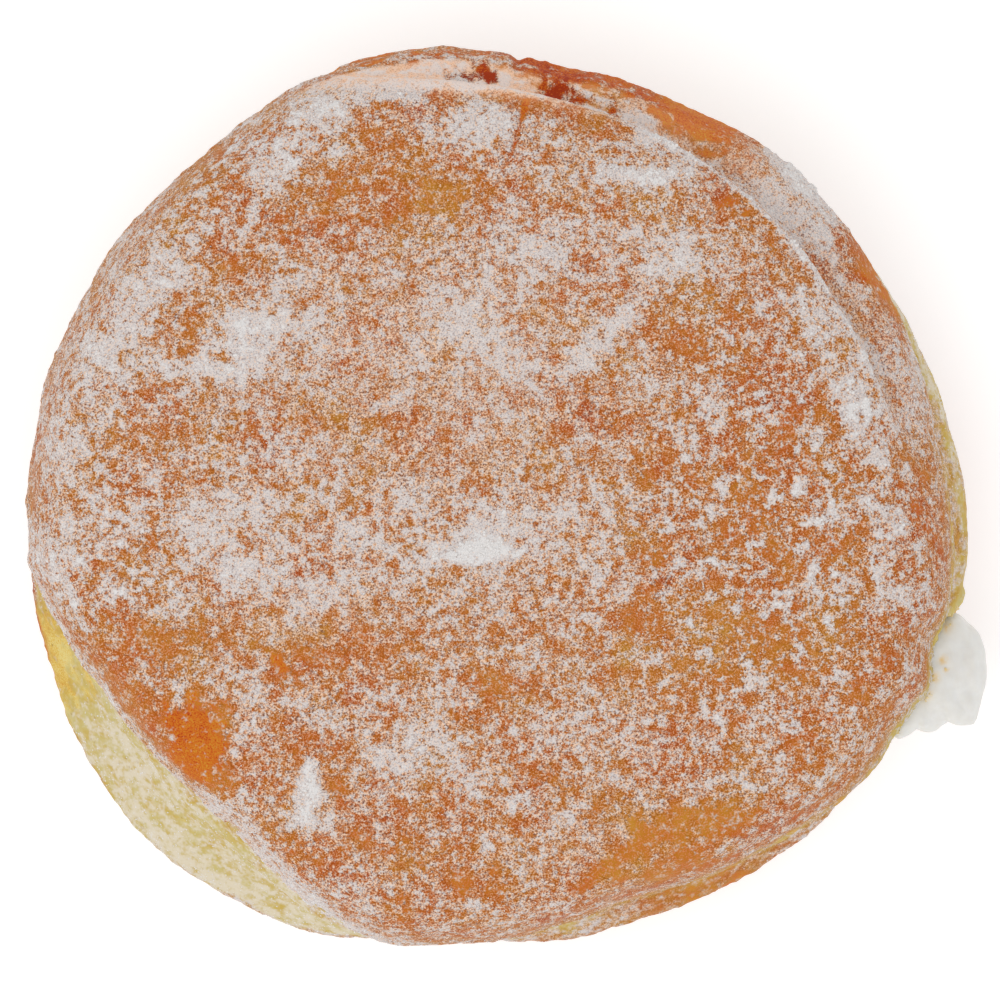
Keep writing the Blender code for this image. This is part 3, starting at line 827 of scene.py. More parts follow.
# %% [markdown]
# ## Blisters, the torn rim and the flat foot
# The waist and the base get their own swells and blisters, finer and rougher low down where the fat
# boiled. At the mouth the skin is pushed in as a steep-walled dent, deeper than the cream's surface,
# and round it the edge is lifted and torn. Cutting a hole with a Boolean would leave a clean edge.
# The weight of the dough flattens whatever would hang below the surface it rests on.

# %% Shape the waist and the base
DENT_DEPTH = 3.2 * MM

base_up = normals_of(base_skin)
height = 0.26 * MM * layered_noise(bare_points, 15 * MM, 2, 0.6, 71)
height += 0.10 * MM * layered_noise(bare_points, 4 * MM, 3, 0.65, 72)
blistered = 1 + 1.4 * fade(15 * MM - bare_points[:, 2], 0, 3 * MM)
height += 0.06 * MM * layered_noise(bare_points, 1.4 * MM, 2, 0.8, 73) * blistered
height[-1] = 0.0
base_shaped = bare_points + base_up * height[:, None]
lifted = bump(hole - 1.08, 0.14) * (0.30 + 0.8 * np.abs(lattice_noise(bare_points, 1.1 * MM, 74)))
_, sideways, above = from_mouth(bare_points)
cheeks = bump(np.abs(sideways) - 7.4 * MM, 1.2 * MM) * bump(above - 1 * MM, 3.6 * MM)
lifted += 0.35 * cheeks * (hole < 2)
base_shaped += OUTWARD * (0.55 * MM * lifted - DENT_DEPTH * (1 - fade(hole, 0.86, 1.02)))[:, None]
base_shaped[:, 2] = np.maximum(base_shaped[:, 2], 0.0)
move_points(base_skin, base_shaped)
print("points on the flat foot:", int((base_shaped[:, 2] == 0.0).sum()))

# %% [markdown]
# ## Toast on the waist and the base
# The other number on each point is `toast`, from 0 for pale crumb through gold to 1 for dark brown.
# The brown of the base ends on a wavy line, where the fat's level stood. It ends lowest below the
# tall pale band and highest on the side next to that, where it turns to gold before it meets the
# crust. What depends only on the azimuth fades out towards the foot, where it would meet in wedges.

# %% Toast the waist and the base
BROWN_TOP = 14.9  # mm, height of the brown's upper end
HIGH_BROWN = (296.0, 28.0, 30.0)  # where it climbs higher


def along_base(middle, back, on):
    """1 on a stretch of the base's side, fading to 0 at its ends, in degrees."""
    return share(base_azimuth, (middle, back, on))


z = base_shaped[:, 2]
on_side = fade(z, 3.0 * MM, 8.0 * MM)
golden_side = along_base(296, 28, 22) * on_side
brown_top = BROWN_TOP - 2.1 * share(base_azimuth, TALL_BAND) + 4.4 * share(base_azimuth, HIGH_BROWN)
brown_top *= MM
brown_top += 1.3 * MM * layered_noise(bare_points, 6 * MM, 3, 0.6, 81)
base_toast = 0.10 + 0.62 * (1 - fade(z, brown_top - 4.4 * MM, brown_top + 1.6 * MM))
base_toast += 0.13 * layered_noise(bare_points, 3.2 * MM, 4, 0.75, 82)
base_toast *= 1 - 0.12 * golden_side * fade(z, 4.0 * MM, 9.0 * MM)
base_toast += 0.14 * (1 - fade(below_edge, 0.3 * MM, 1.6 * MM)) * (1 - golden_side)
base_toast += on_side * (0.18 * along_base(4, 34, 34) + 0.15 * along_base(190, 14, 12))
base_toast -= 0.32 * golden_side * (1 - fade(below_edge, 1.3 * MM, 2.8 * MM))
base_toast = np.where(hole < 1.3, base_toast * fade(hole, 1.0, 1.3), base_toast)
store(base_skin, "toast", np.clip(base_toast, 0, 1))
print("mean toast of the waist and base:", base_toast.mean().round(2))

# %% [markdown]
# ## Sugar on the waist and the base
# The sides were rolled in the sugar, so it lies there in flecks, thicker on some stretches than on
# others and thickest low on the side that leans out. The foot is rubbed, and crumb torn at the mouth
# came after the sugar, so it is clean.

# %% Dust the waist and the base
SIDE_SUGAR = (  # (middle, degrees back, degrees on, change)
    (248, 20, 20, 0.12), (200, 12, 12, -0.40), (24, 24, 26, 0.20), (296, 28, 22, -0.26),
    (318, 16, 20, 0.16), (222, 20, 14, 0.10), (358, 12, 12, -0.08), (283, 16, 12, 0.18),
)

underside = 1 - fade(z, 1.0 * MM, 6.0 * MM)
base_sugar = 0.44 + 0.10 * layered_noise(bare_points, 9 * MM, 2, 0.9, 83)
base_sugar += 0.26 * layered_noise(bare_points, 2.2 * MM, 3, 0.7, 86) * (1 - 0.5 * golden_side)
base_sugar -= 0.14 * underside + 0.10 * underside * layered_noise(bare_points, 16 * MM, 2, 0.7, 84)
base_sugar += 0.35 * along_base(232, 18, 20) * bump(z - 13.6 * MM, 2.2 * MM)
for middle, back, on, change in SIDE_SUGAR:
    base_sugar += on_side * change * along_base(middle, back, on)
base_sugar *= 0.35 + 0.65 * fade(hole, 1.0, 1.5)
store(base_skin, "sugar", base_sugar)
store(base_skin, "clotted", np.ones(len(base_sugar)))
print("mean share of the waist and base under sugar:", base_sugar.mean().round(2))

# %% [markdown]
# ## Toast on the upper crust
# The crust browned evenly but for clouds of lighter gold, placed as the drifts are, and its lower edge,
# which left the fat first and is palest over the mouth's side. The burst spots and the outline
# beside the fold are darker.

# %% Toast the upper crust
GOLDEN = (  # where the crust browned less, or more below 0
    (-9.5, 31, 7, 4, 0, 0.08), (-37, 5, 3, 3, 0, 0.1), (27, -1, 4, 3, -40, 0.14),
    (25, -13, 6, 3, -20, 0.14), (20, -17, 4, 3, 0, 0.1), (-6, -34, 5, 3, 0, 0.12),
    (-33, -22.5, 3, 4.5, 0, 0.13), (14, 34.6, 5.5, 2.6, -24, -0.14), (23, -29.5, 6, 2.5, 20, 0.09),
    (14, -36, 4, 2, 35, 0.06), (-20, -8, 5, 3, 0, -0.08),
)

toast = 0.75 - 0.10 * near_edge(0.5, 4.0) + 0.12 * layered_noise(base, 8 * MM, 4, 0.75, 85)
toast -= 0.5 * patches(east, north, GOLDEN)
toast += 0.06 * along_crust(62, 62, 56) * fade(radius, 36 * MM, 41 * MM) - 0.08 * even_film_and_painted_light
toast -= 0.42 * along_crust(335, 70, 50) * near_edge(0.5, 7.0)
toast -= 0.06 * wrinkle_zone
toast += 0.30 * dark + 0.12 * outer_strip
store(crust, "toast", np.clip(toast, 0, 1.2))
print("mean toast of the upper crust:", toast.mean().round(2))

# %% [markdown]
# ## The cream
# The solid's cream fills the pocket, which nobody sees, and swells out of the mouth. A voxel
# remesh turns a copy of it into an even fine skin, and a smoothing modifier rounds it. Both are
# applied, because the next steps move the points that they make.

# %% Grow the cream's skin
CREAM_VOXEL = 0.36 * MM

cream = frame["nodes"]["cream"].copy()
cream.data = cream.data.copy()
cream.name = "piped_cream"
cream.parent = None
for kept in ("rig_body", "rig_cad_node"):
    del cream[kept]
bpy.context.scene.collection.objects.link(cream)
remesh = cream.modifiers.new("even skin", "REMESH")
remesh.mode, remesh.voxel_size, remesh.use_smooth_shade = "VOXEL", CREAM_VOXEL, True
round_off = cream.modifiers.new("round off", "SMOOTH")
round_off.factor, round_off.iterations = 0.5, 7


def applied(thing):
    """The object's mesh as its modifiers make it, on the object itself."""
    graph = bpy.context.evaluated_depsgraph_get()
    done = bpy.data.meshes.new_from_object(thing.evaluated_get(graph))
    thing.modifiers.clear()
    thing.data = done
    return thing


applied(cream)
print("cream:", len(cream.data.polygons), "faces")

# %% [markdown]
# ## Folds in the cream
# Stiff cream keeps the marks of how it came out: soft lumps, and grooves between the folds that the
# nozzle laid. The grooves are lines on the top of the swell. Their ends are written in mm, outwards
# from the dough's axis and sideways from the mouth's middle. Only what shows outside the hole is
# touched.

# %% Fold the cream
CREAM_GROOVES = (
    ((48.4, 3.0), (50.5, -0.8)), ((49.0, -1.2), (51.0, -3.2)),
    ((46.0, -3.6), (48.4, -5.4)), ((46.6, 1.2), (48.6, 0.2)),
)
GROOVE_DEPTH, GROOVE_REACH = 0.50 * MM, 0.75 * MM

cream_points = np.array([v.co for v in cream.data.vertices])
outward, sideways, above = from_mouth(cream_points)
shown = fade(outward, 43.5 * MM, 45.5 * MM)
height = shown * 0.16 * MM * layered_noise(cream_points, 2.6 * MM, 3, 0.5, 92)
for start, end in CREAM_GROOVES:
    away, _ = beside_line(outward, sideways, start, end)
    height -= GROOVE_DEPTH * shown * bump(away, GROOVE_REACH) * fade(above, 0.0, 3.0 * MM)
cream_points += normals_of(cream) * height[:, None]
print("deepest groove in mm:", (height.min() / MM).round(2))

# %% [markdown]
# ## The cream's outline
# Seen from above, the swell has an outline of its own: round where it pushed out freely, cut back
# in scallops where it dragged on the torn crumb. Points round a centre just inside the mouth give
# that outline, as (degrees, mm), and the cream is stretched or drawn in to meet it.

# %% Draw the cream in to its outline
CREAM_OUTLINE = (
    (-100, 6.4), (-91, 6.7), (-83, 6.1), (-75, 5.3), (-66, 5.6), (-57, 5.6), (-48, 5.3), (-40, 5.2),
    (-34, 6), (-22, 6.9), (-10, 6.5), (0, 6.2), (10, 6.25), (24, 6.3), (33, 6.35), (46, 6.65),
    (58, 6.95), (70, 6.85), (82, 7), (95, 6.7), (105, 6.4),
)
OUTLINE_CENTRE = (45.5 * MM, -1.0 * MM)
OUTLINE_HALF = 108  # degrees that it covers each way
BINS = 73

outward, sideways, above = from_mouth(cream_points)
across, beside = outward - OUTLINE_CENTRE[0], sideways - OUTLINE_CENTRE[1]
angle, reach = np.degrees(np.arctan2(beside, across)), np.hypot(across, beside)
bins = np.linspace(-OUTLINE_HALF, OUTLINE_HALF, BINS)
near = np.abs(angle) < OUTLINE_HALF
widest = np.zeros(BINS)
np.maximum.at(widest, np.digitize(angle[near], bins) - 1, reach[near])
widest = np.convolve(np.pad(widest, 2, "edge"), (0.1, 0.2, 0.4, 0.2, 0.1), "valid")
asked = np.interp(angle, *np.array(CREAM_OUTLINE).T) * MM
stretched = asked / np.interp(angle, bins + 1.5, widest) - 1
factor = 1 + stretched * fade(outward, 43.0 * MM, 45.0 * MM)
shift = (factor - 1)[:, None] * (across[:, None] * OUTWARD + beside[:, None] * ALONG)
cream_points += shift
move_points(cream, cream_points)
print("cream stretched by", factor.min().round(2), "to", factor.max().round(2))

# %% [markdown]
# ## Where crumb stuck to the cream
# The cream tore crumbs off the hole's upper edge, and the crust's fat stained it round them. A few
# spots on top of the swell carry both. Each is (outwards, sideways, reach) in mm, as the grooves are.
# The material reads them as `stain`, and the crumbs are dropped on them further down.

# %% Stain the cream
CRUMB_SPOTS = (
    (45.9, 4.3, 0.5), (46.6, 1.1, 0.4), (47.3, 0.3, 0.2), (46.4, -0.8, 0.5), (46.2, -2.6, 0.6),
)

outward, sideways, above = from_mouth(cream_points)
spots = [(np.hypot(outward - out * MM, sideways - side * MM), far) for out, side, far in CRUMB_SPOTS]
near_tear = fade(above, 1.5 * MM, 3.0 * MM) * sum(bump(away, far * MM) for away, far in spots)
store(cream, "stain", near_tear)
print("points of cream that are stained:", int((near_tear > 0.1).sum()))

# %% [markdown]
# ## Building materials in script
# Colours are written as they look on a screen, from 0 to 255, and turned into light. Each node is
# one call that names its inputs, and a link is made wherever an input is another node's output.
# The same calls serve shader trees and geometry trees.

# %% Add and link nodes
def seen(red, green, blue):
    """A colour as it shows on a screen, as linear light for a node."""
    values = [c / 255 for c in (red, green, blue)]
    light = [c / 12.92 if c <= 0.04045 else ((c + 0.055) / 1.055) ** 2.4 for c in values]
    return (*light, 1.0)


def new_material(name):
    """A material with its node tree and its Principled shader."""
    made = bpy.data.materials.new(name)
    made.use_nodes = True
    return made, made.node_tree, made.node_tree.nodes["Principled BSDF"]


def link_or_set(tree, socket, value):
    """Links another node's output to the socket, or sets the socket to a plain value."""
    if isinstance(value, bpy.types.NodeSocket):
        tree.links.new(value, socket)
    else:
        socket.default_value = value


def add_node(tree, kind, inputs, **settings):
    """A node with these inputs, by name, and these settings."""
    made = tree.nodes.new(kind)
    for name, value in settings.items():
        setattr(made, name, value)
    for name, value in inputs.items():
        link_or_set(tree, made.inputs[name], value)
    return made


print("mid grey on a screen is this much light:", round(seen(128, 128, 128)[0], 3))

# %% [markdown]
# ## Sums and ranges as nodes
# A finish is mostly sums on a few masks, so the usual sums get a short name each: a product, a
# straight line, a smooth step from one range to another. Noise takes its size in metres, and what was
# stored on the points is read by its name.

# %% Work out values in a tree
def maths(tree, operation, *values):
    """What one Math node makes of these values."""
    made = tree.nodes.new("ShaderNodeMath")
    made.operation = operation
    for socket, value in zip(made.inputs, values):
        link_or_set(tree, socket, value)
    return made.outputs[0]


def times(tree, first, *others):
    """The product of all these values."""
    for value in others:
        first = maths(tree, "MULTIPLY", first, value)
    return first


def linear(tree, value, slope, start):
    """value * slope + start."""
    return maths(tree, "MULTIPLY_ADD", value, slope, start)


def object_place(tree):
    """Where a point lies in the piece's own space."""
    return tree.nodes.new("ShaderNodeTexCoord").outputs["Object"]


def noise(tree, size, detail=0.0, roughness=0.5, place=None):
    """Noise whose lumps are about this size, from 0 to 1."""
    inputs = {"Vector": place or object_place(tree), "Scale": 1 / size}
    inputs.update({"Detail": detail, "Roughness": roughness})
    return add_node(tree, "ShaderNodeTexNoise", inputs).outputs[0]


def stored(tree, name):
    """The number kept under this name on the points."""
    return add_node(tree, "ShaderNodeAttribute", {}, attribute_name=name).outputs["Fac"]


def carried(tree, value, low, high, to_low, to_high):
    """The value carried from one range to another, smoothly, and held at both ends."""
    names = ("Value", "From Min", "From Max", "To Min", "To Max")
    inputs = dict(zip(names, (value, low, high, to_low, to_high)))
    return add_node(tree, "ShaderNodeMapRange", inputs, interpolation_type="SMOOTHSTEP").outputs[0]


print("noise with lumps of 1 mm has scale", round(1 / MM))

# %% [markdown]
# ## Colours as nodes
# A ramp turns one number into a colour, a mix lets one colour give way to another, and a scale makes a
# colour lighter or darker. With these three every finish below is built up from skin to powder.

# %% Work out colours in a tree
def ramp(tree, value, stops):
    """The value turned into a colour, by stops of (value, colour)."""
    made = add_node(tree, "ShaderNodeValToRGB", {"Fac": value})
    elements = made.color_ramp.elements
    while len(elements) < len(stops):
        elements.new(0.5)
    for element, (place, colour) in zip(elements, stops):
        element.position, element.color = place, colour
    return made.outputs["Color"]


def mixed(tree, share_of_b, a, b):
    """Colour a giving way to colour b."""
    made = tree.nodes.new("ShaderNodeMix")
    made.data_type = "RGBA"
    factor, colour_a, colour_b = (made.inputs[place] for place in (0, 6, 7))
    link_or_set(tree, factor, share_of_b)
    link_or_set(tree, colour_a, a)
    link_or_set(tree, colour_b, b)
    return made.outputs[2]


def scaled(tree, colour, by):
    """The colour made brighter or darker."""
    made = tree.nodes.new("ShaderNodeVectorMath")
    made.operation = "SCALE"
    link_or_set(tree, made.inputs[0], colour)
    link_or_set(tree, made.inputs["Scale"], by)
    return made.outputs[0]


print("a crumb's yellow is this much light:", [round(c, 2) for c in seen(230, 200, 132)[:3]])

# %% [markdown]
# ## Browned skin under the sugar
# Bare crust goes from pale crumb through yellow and gold to red brown, as the stored toast rises. Two
# noises unsettle it: clouds a millimetre or two wide everywhere, and specks as fine as the skin's
# pores where it is bare. Dust in the pores darkens it a little, because powder there throws shade.

# %% The skin's colour
TOAST_STOPS = (
    (0.00, seen(220, 202, 132)), (0.20, seen(217, 184, 88)), (0.42, seen(203, 148, 52)),
    (0.62, seen(199, 122, 37)), (0.80, seen(197, 101, 29)), (0.92, seen(184, 77, 23)),
    (1.00, seen(156, 51, 17)),
)
PORE_SIZE = 0.17 * MM


def toasted_skin(tree, fine, dusty, grain_shading_weight):
    """The colour of the bare skin, with painted shade where dust lies in its pores. One mask says how
    much dust lies there, the other how deep that painted shade is.
    """
    sugar = stored(tree, "sugar")
    clouds = maths(tree, "SUBTRACT", noise(tree, 1.7 * MM, detail=3.0, roughness=0.65), 0.5)
    clouds = times(tree, clouds, carried(tree, sugar, 0.0, 0.2, 0.12, 0.35))
    toasted = maths(tree, "ADD", clouds, stored(tree, "toast"))
    specks = maths(tree, "SUBTRACT", fine, 0.5)
    toasted = linear(tree, specks, carried(tree, sugar, 0.0, 0.3, 1.0, 0.0), toasted)
    toasted = linear(tree, dusty, -0.03, toasted)
    # painted shade: pores that hold dust are painted up to a fifth darker
    shaded = times(tree, dusty, grain_shading_weight, -0.21)
    return scaled(tree, ramp(tree, toasted, TOAST_STOPS), maths(tree, "ADD", shaded, 1.0))


print("skin from crumb to dark brown in", len(TOAST_STOPS), "stops")

# %% [markdown]
# ## Pits in the crumb
# The pale waist is fine crumb with open bubbles. Voronoi cells give dots at even spacing, like
# bubbles in a foam; noise frays them and lets them show only here and there. Seen from the side
# they are a little taller than wide, so the pattern is stretched upwards.

# %% Pits and their colour
PIT_SPACING = 0.95 * MM
PIT_GOLD = seen(172, 126, 36)


def taller(tree, place):
    """The place, squeezed upwards, which stretches every pattern on it that way."""
    return add_node(tree, "ShaderNodeMapping", {"Vector": place, "Scale": (1.0, 1.0, 0.6)}).outputs[0]


def crumb_pits(tree, place):
    """1 in a pit, 0 on the skin between."""
    ragged = linear(tree, noise(tree, 0.3 * MM), 0.25, -0.12)
    dots = add_node(tree, "ShaderNodeTexVoronoi", {"Vector": place, "Scale": 1 / PIT_SPACING})
    pit = carried(tree, maths(tree, "ADD", dots.outputs["Distance"], ragged), 0.06, 0.24, 1.0, 0.0)
    return times(tree, pit, carried(tree, noise(tree, 3.2 * MM, place=place), 0.50, 0.62, 0.0, 1.0))


print("pits to a square centimetre, about:", round((10 * MM / PIT_SPACING) ** 2))

# %% [markdown]
# ## Powder over the skin
# The stored share of sugar gains one more noise, down to single clots of powder. A steep but not
# sharp step turns it into cover: full, none, or the thin veil between. A veil over browned skin
# takes up its gold, a film that took up fat turns peach, and a heap is whitest. The film is also
# painted a shade lighter, as painted light for the side that the lamp leaves dim.

# %% Cover the skin with powder
SUGAR_WHITE = seen(209, 202, 200)
SUGAR_THICK = seen(224, 222, 221)
CRUMB_SUGAR = seen(217, 205, 181)  # powder on pale crumb, which shines through it
VEIL_GOLD = seen(216, 170, 110)
VEIL = 0.8
FILM_PEACH = seen(242, 198, 166)
COVER_STARTS, COVER_WHOLE = 0.12, 0.88  # shares of sugar


def powder_cover(tree, place, clot_size, clot_gain, fineness):
    """(the share of sugar with its clots, the cover from 0 to 1)."""
    clots = noise(tree, clot_size, detail=fineness, roughness=1.0, place=place)
    clots = times(tree, maths(tree, "SUBTRACT", clots, 0.5), clot_gain, stored(tree, "clotted"))
    sugar_share = maths(tree, "ADD", stored(tree, "sugar"), clots)
    return sugar_share, carried(tree, sugar_share, COVER_STARTS, COVER_WHOLE, 0.0, 1.0)


def powdered(tree, skin, powder, cover, veiled, film_and_painted_light, heap):
    """The skin's colour under powder, its veil, its film and its heaps, with the film painted lighter as
    painted light.
    """
    colour = mixed(tree, cover, skin, powder)
    colour = mixed(tree, times(tree, veiled, VEIL), colour, VEIL_GOLD)
    colour = mixed(tree, times(tree, film_and_painted_light, linear(tree, veiled, 1.8, 0.20)), colour, FILM_PEACH)
    # painted light: the film is painted up to 13% lighter, for the side that the lamp leaves dim
    colour = scaled(tree, colour, linear(tree, film_and_painted_light, 0.13, 1.0))
    return mixed(tree, heap, colour, SUGAR_THICK)


print("powder's light, thin and thick:", round(SUGAR_WHITE[0], 3), round(SUGAR_THICK[0], 3))

# %% [markdown]
# ## Painted light and shade on the grains
# Close to, a veil of powder is single grains with gaps between, a fifth of a millimetre apart. The
# tops get a painted highlight and the gaps a painted shade, darker than the bare skin. The same fine
# noise picks both, so a top and a gap never fall together. This painted light and shade is
# strongest in a veil on browned skin and fades on a film and on a heap.

# %% Grains and gaps
# painted shade for the gaps between grains, and a painted highlight for their tops
GAP_SHADE = seen(104, 46, 18)
GRAIN_LIT = seen(252, 212, 178)


def with_grain_highlight_and_shade(tree, colour, fine, grain_shading_strength):
    """The colour with painted highlights on the grains and painted shade in their gaps, as strong as the
    given strength says.
    """
    gap = times(tree, grain_shading_strength, carried(tree, fine, 0.28, 0.52, 1.0, 0.0))
    top = times(tree, grain_shading_strength, carried(tree, fine, 0.48, 0.72, 0.0, 1.0))
    return mixed(tree, top, mixed(tree, gap, colour, GAP_SHADE), GRAIN_LIT)


print("grains and gaps differ in light by", round(GRAIN_LIT[0] - GAP_SHADE[0], 3))

# %% [markdown]
# ## Sugared crust and sugared crumb
# One function puts these together for both discs. Only the waist and base have pits and powder that
# yellows on pale crumb. The cover also takes the sheen off the skin and gives the powder its
# height, which a Bump node turns into fine shading that the mesh could not hold.

# %% The two sugared materials
def sugared(name, clot_size, clot_gain, fineness, grain_shading, pits):
    """A browned surface under sugar. The grain setting is how far the painted highlights on grains and
    the painted shade in their gaps differ in brightness.
    """
    made, tree, principled = new_material(name)
    place = taller(tree, object_place(tree)) if pits else object_place(tree)
    sugar_share, cover = powder_cover(tree, place, clot_size, clot_gain, fineness)
    fine = noise(tree, PORE_SIZE, detail=1.0, roughness=0.8)
    dusty = carried(tree, stored(tree, "sugar"), 0.0, 0.26, 0.0, 1.0)
    # the film's mask, which also marks where the colour is painted lighter as painted light
    film_and_painted_light = carried(tree, stored(tree, "clotted"), 0.3, 0.8, 1.0, 0.0)
    # how strong the painted shade in pores and on grains is, weaker on a film
    grain_shading_weight = linear(tree, film_and_painted_light, -0.55, 1.0)
    heap = carried(tree, sugar_share, 1.0, 1.5, 0.0, 1.0)
    browned = carried(tree, stored(tree, "toast"), 0.18, 0.45, 0.0, 1.0)
    veiled = times(tree, cover, maths(tree, "SUBTRACT", 1.0, cover), browned)

    skin, powder = toasted_skin(tree, fine, dusty, grain_shading_weight), SUGAR_WHITE
    relief = linear(tree, fine, 0.3, cover)
    if pits:
        pit = crumb_pits(tree, place)
        skin = mixed(tree, times(tree, pit, 0.7), skin, PIT_GOLD)
        powder = mixed(tree, browned, CRUMB_SUGAR, SUGAR_WHITE)
        relief = linear(tree, pit, -0.8, relief)
    colour = powdered(tree, skin, powder, cover, veiled, film_and_painted_light, heap)
    # strength of the painted highlights and painted shade on the grains
    grain_shading_strength = linear(tree, veiled, 2.2 * grain_shading, 0.56 * grain_shading)
    grain_shading_strength = times(tree, grain_shading_strength, times(tree, dusty, browned), grain_shading_weight, linear(tree, heap, -0.7, 1.0))
    link_or_set(tree, principled.inputs["Base Color"], with_grain_highlight_and_shade(tree, colour, fine, grain_shading_strength))

    link_or_set(tree, principled.inputs["Roughness"], carried(tree, cover, 0.0, 0.6, 0.55, 0.9))
    principled.inputs["Specular IOR Level"].default_value = 0.06
    bump_inputs = {"Height": relief, "Strength": 0.8, "Distance": 0.10 * MM}
    lump = add_node(tree, "ShaderNodeBump", bump_inputs)
    link_or_set(tree, principled.inputs["Normal"], lump.outputs["Normal"])
    print(name, "has", len(tree.nodes), "nodes")
    return made


crust_look = sugared(
    "sugared_crust", clot_size=0.95 * MM, clot_gain=2.95, fineness=2.3, grain_shading=0.84, pits=False
)
base_look = sugared(
    "sugared_crumb_and_base", clot_size=1.05 * MM, clot_gain=2.1, fineness=1.8, grain_shading=0.60, pits=True
)
crust.data.materials.append(crust_look)
base_skin.data.materials.append(base_look)

# %% [markdown]
# ## Cream's material
# Cream is nearly white and lets a little light in, so its folds stay pale. Faint mottling keeps
# it from looking like plaster. Where it is stained, gold fat shows through in smears.

# %% The cream's material
cream_look, tree, principled = new_material("whipped_cream")
mottle = noise(tree, 1.3 * MM, detail=3.0)
white = ramp(tree, mottle, ((0.3, seen(221, 219, 214)), (0.7, seen(228, 227, 223))))
smears = carried(tree, noise(tree, 0.5 * MM, detail=2.0), 0.35, 0.65, 0.35, 0.9)
stained = mixed(tree, times(tree, stored(tree, "stain"), smears), white, seen(232, 192, 106))
link_or_set(tree, principled.inputs["Base Color"], stained)
principled.inputs["Roughness"].default_value = 0.42
principled.inputs["Subsurface Weight"].default_value = 0.25
principled.inputs["Subsurface Radius"].default_value = (1.0, 0.9, 0.7)
principled.inputs["Subsurface Scale"].default_value = 0.6 * MM
cream.data.materials.clear()
cream.data.materials.append(cream_look)
print(cream_look.name, "has", len(tree.nodes), "nodes")

# %% [markdown]
# ## Loose sugar
# Paint alone can't give powder its grain: real grains stand on the surface, catch light and hide
# one another. Geometry Nodes drop thousands of them where a stored number, `share`, is high. Each
# is a ball of only four to eight sides, turned and sized at random, most of them small, so that even
# all of them together stay light.

# %% A tree of nodes that scatters grains
SCATTER_INPUTS = (
    ("Geometry", "Geometry"), ("Per Square Metre", "Float"), ("Sugar From", "Float"),
    ("Sugar To", "Float"), ("Smallest", "Float"), ("Largest", "Float"),
    ("Sides", "Int"), ("Seed", "Int"), ("Material", "Material"),
)
FULL_TURN = 6.283


def scatter_tree():
    """Geometry nodes that drop grains on a mesh where its stored share lies in a range."""
    tree = bpy.data.node_groups.new("scatter_grains", "GeometryNodeTree")
    for name, kind in SCATTER_INPUTS:
        tree.interface.new_socket(name=name, in_out="INPUT", socket_type="NodeSocket" + kind)
    tree.interface.new_socket(name="Geometry", in_out="OUTPUT", socket_type="NodeSocketGeometry")
    given = tree.nodes.new("NodeGroupInput").outputs

    kept = add_node(tree, "GeometryNodeInputNamedAttribute", {"Name": "share"}, data_type="FLOAT")
    ranged = {"Value": kept.outputs[0], "From Min": given["Sugar From"], "From Max": given["Sugar To"]}
    wanted = add_node(tree, "ShaderNodeMapRange", ranged).outputs[0]
    density = maths(tree, "MULTIPLY", wanted, given["Per Square Metre"])
    spots = add_node(
        tree, "GeometryNodeDistributePointsOnFaces",
        {"Mesh": given["Geometry"], "Density": density, "Seed": given["Seed"]},
    )
    half_sides = maths(tree, "DIVIDE", given["Sides"], 2.0)
    grain = add_node(
        tree, "GeometryNodeMeshUVSphere",
        {"Segments": given["Sides"], "Rings": half_sides, "Radius": 0.5},
    )
    turn = add_node(tree, "FunctionNodeRandomValue", {"Seed": given["Seed"]}, data_type="FLOAT_VECTOR")
    turn.inputs["Max"].default_value = (FULL_TURN, FULL_TURN, FULL_TURN)
    chance = add_node(tree, "FunctionNodeRandomValue", {"Seed": given["Seed"]}, data_type="FLOAT")
    mostly_small = maths(tree, "POWER", chance.outputs["Value"], 2.0)
    sized = {"Value": mostly_small, "To Min": given["Smallest"], "To Max": given["Largest"]}
    size = add_node(tree, "ShaderNodeMapRange", sized).outputs[0]
    dropped = add_node(
        tree, "GeometryNodeInstanceOnPoints",
        {
            "Points": spots.outputs["Points"], "Instance": grain.outputs["Mesh"],
            "Rotation": turn.outputs["Value"], "Scale": size,
        },
    )
    real = add_node(tree, "GeometryNodeRealizeInstances", {"Geometry": dropped.outputs[0]})
    finish = add_node(
        tree, "GeometryNodeSetMaterial",
        {"Geometry": real.outputs[0], "Material": given["Material"]},
    )
    tree.links.new(finish.outputs[0], tree.nodes.new("NodeGroupOutput").inputs[0])
    return tree


scatter = scatter_tree()
print("tree of", len(scatter.nodes), "nodes")

# %% [markdown]
# ## Four kinds of loose sugar
# Fine grains lie everywhere, coarse ones in the drifts, and clumps of caked powder only on the
# heaps, all on the upper crust. A fourth kind lies on the waist and the base. Each kind is its own
# piece, with its own density, size and seed. The film holds its powder fast, so few grains lie there.

# %% Drop the grains
scene = bpy.context.scene
grain_look, tree, principled = new_material("loose_sugar")
principled.inputs["Base Color"].default_value = seen(228, 225, 223)
principled.inputs["Roughness"].default_value = 0.7
principled.inputs["Specular IOR Level"].default_value = 0.3


def dropped_on(ground, share_of_points, name, look, values):
    """A new piece of grains scattered over a piece, its named inputs given as a dictionary."""
    made = bpy.data.objects.new(name, ground.data.copy())
    store(made, "share", share_of_points)
    scene.collection.objects.link(made)
    nodes = made.modifiers.new("scatter", "NODES")
    nodes.node_group = scatter
    sockets = [item for item in scatter.interface.items_tree if item.in_out == "INPUT"]
    identifiers = {item.name: item.identifier for item in sockets}
    for key, value in {**values, "Material": look}.items():
        nodes[identifiers[key]] = value
    applied(made)
    print(name, "has", len(made.data.polygons), "faces")
    return made


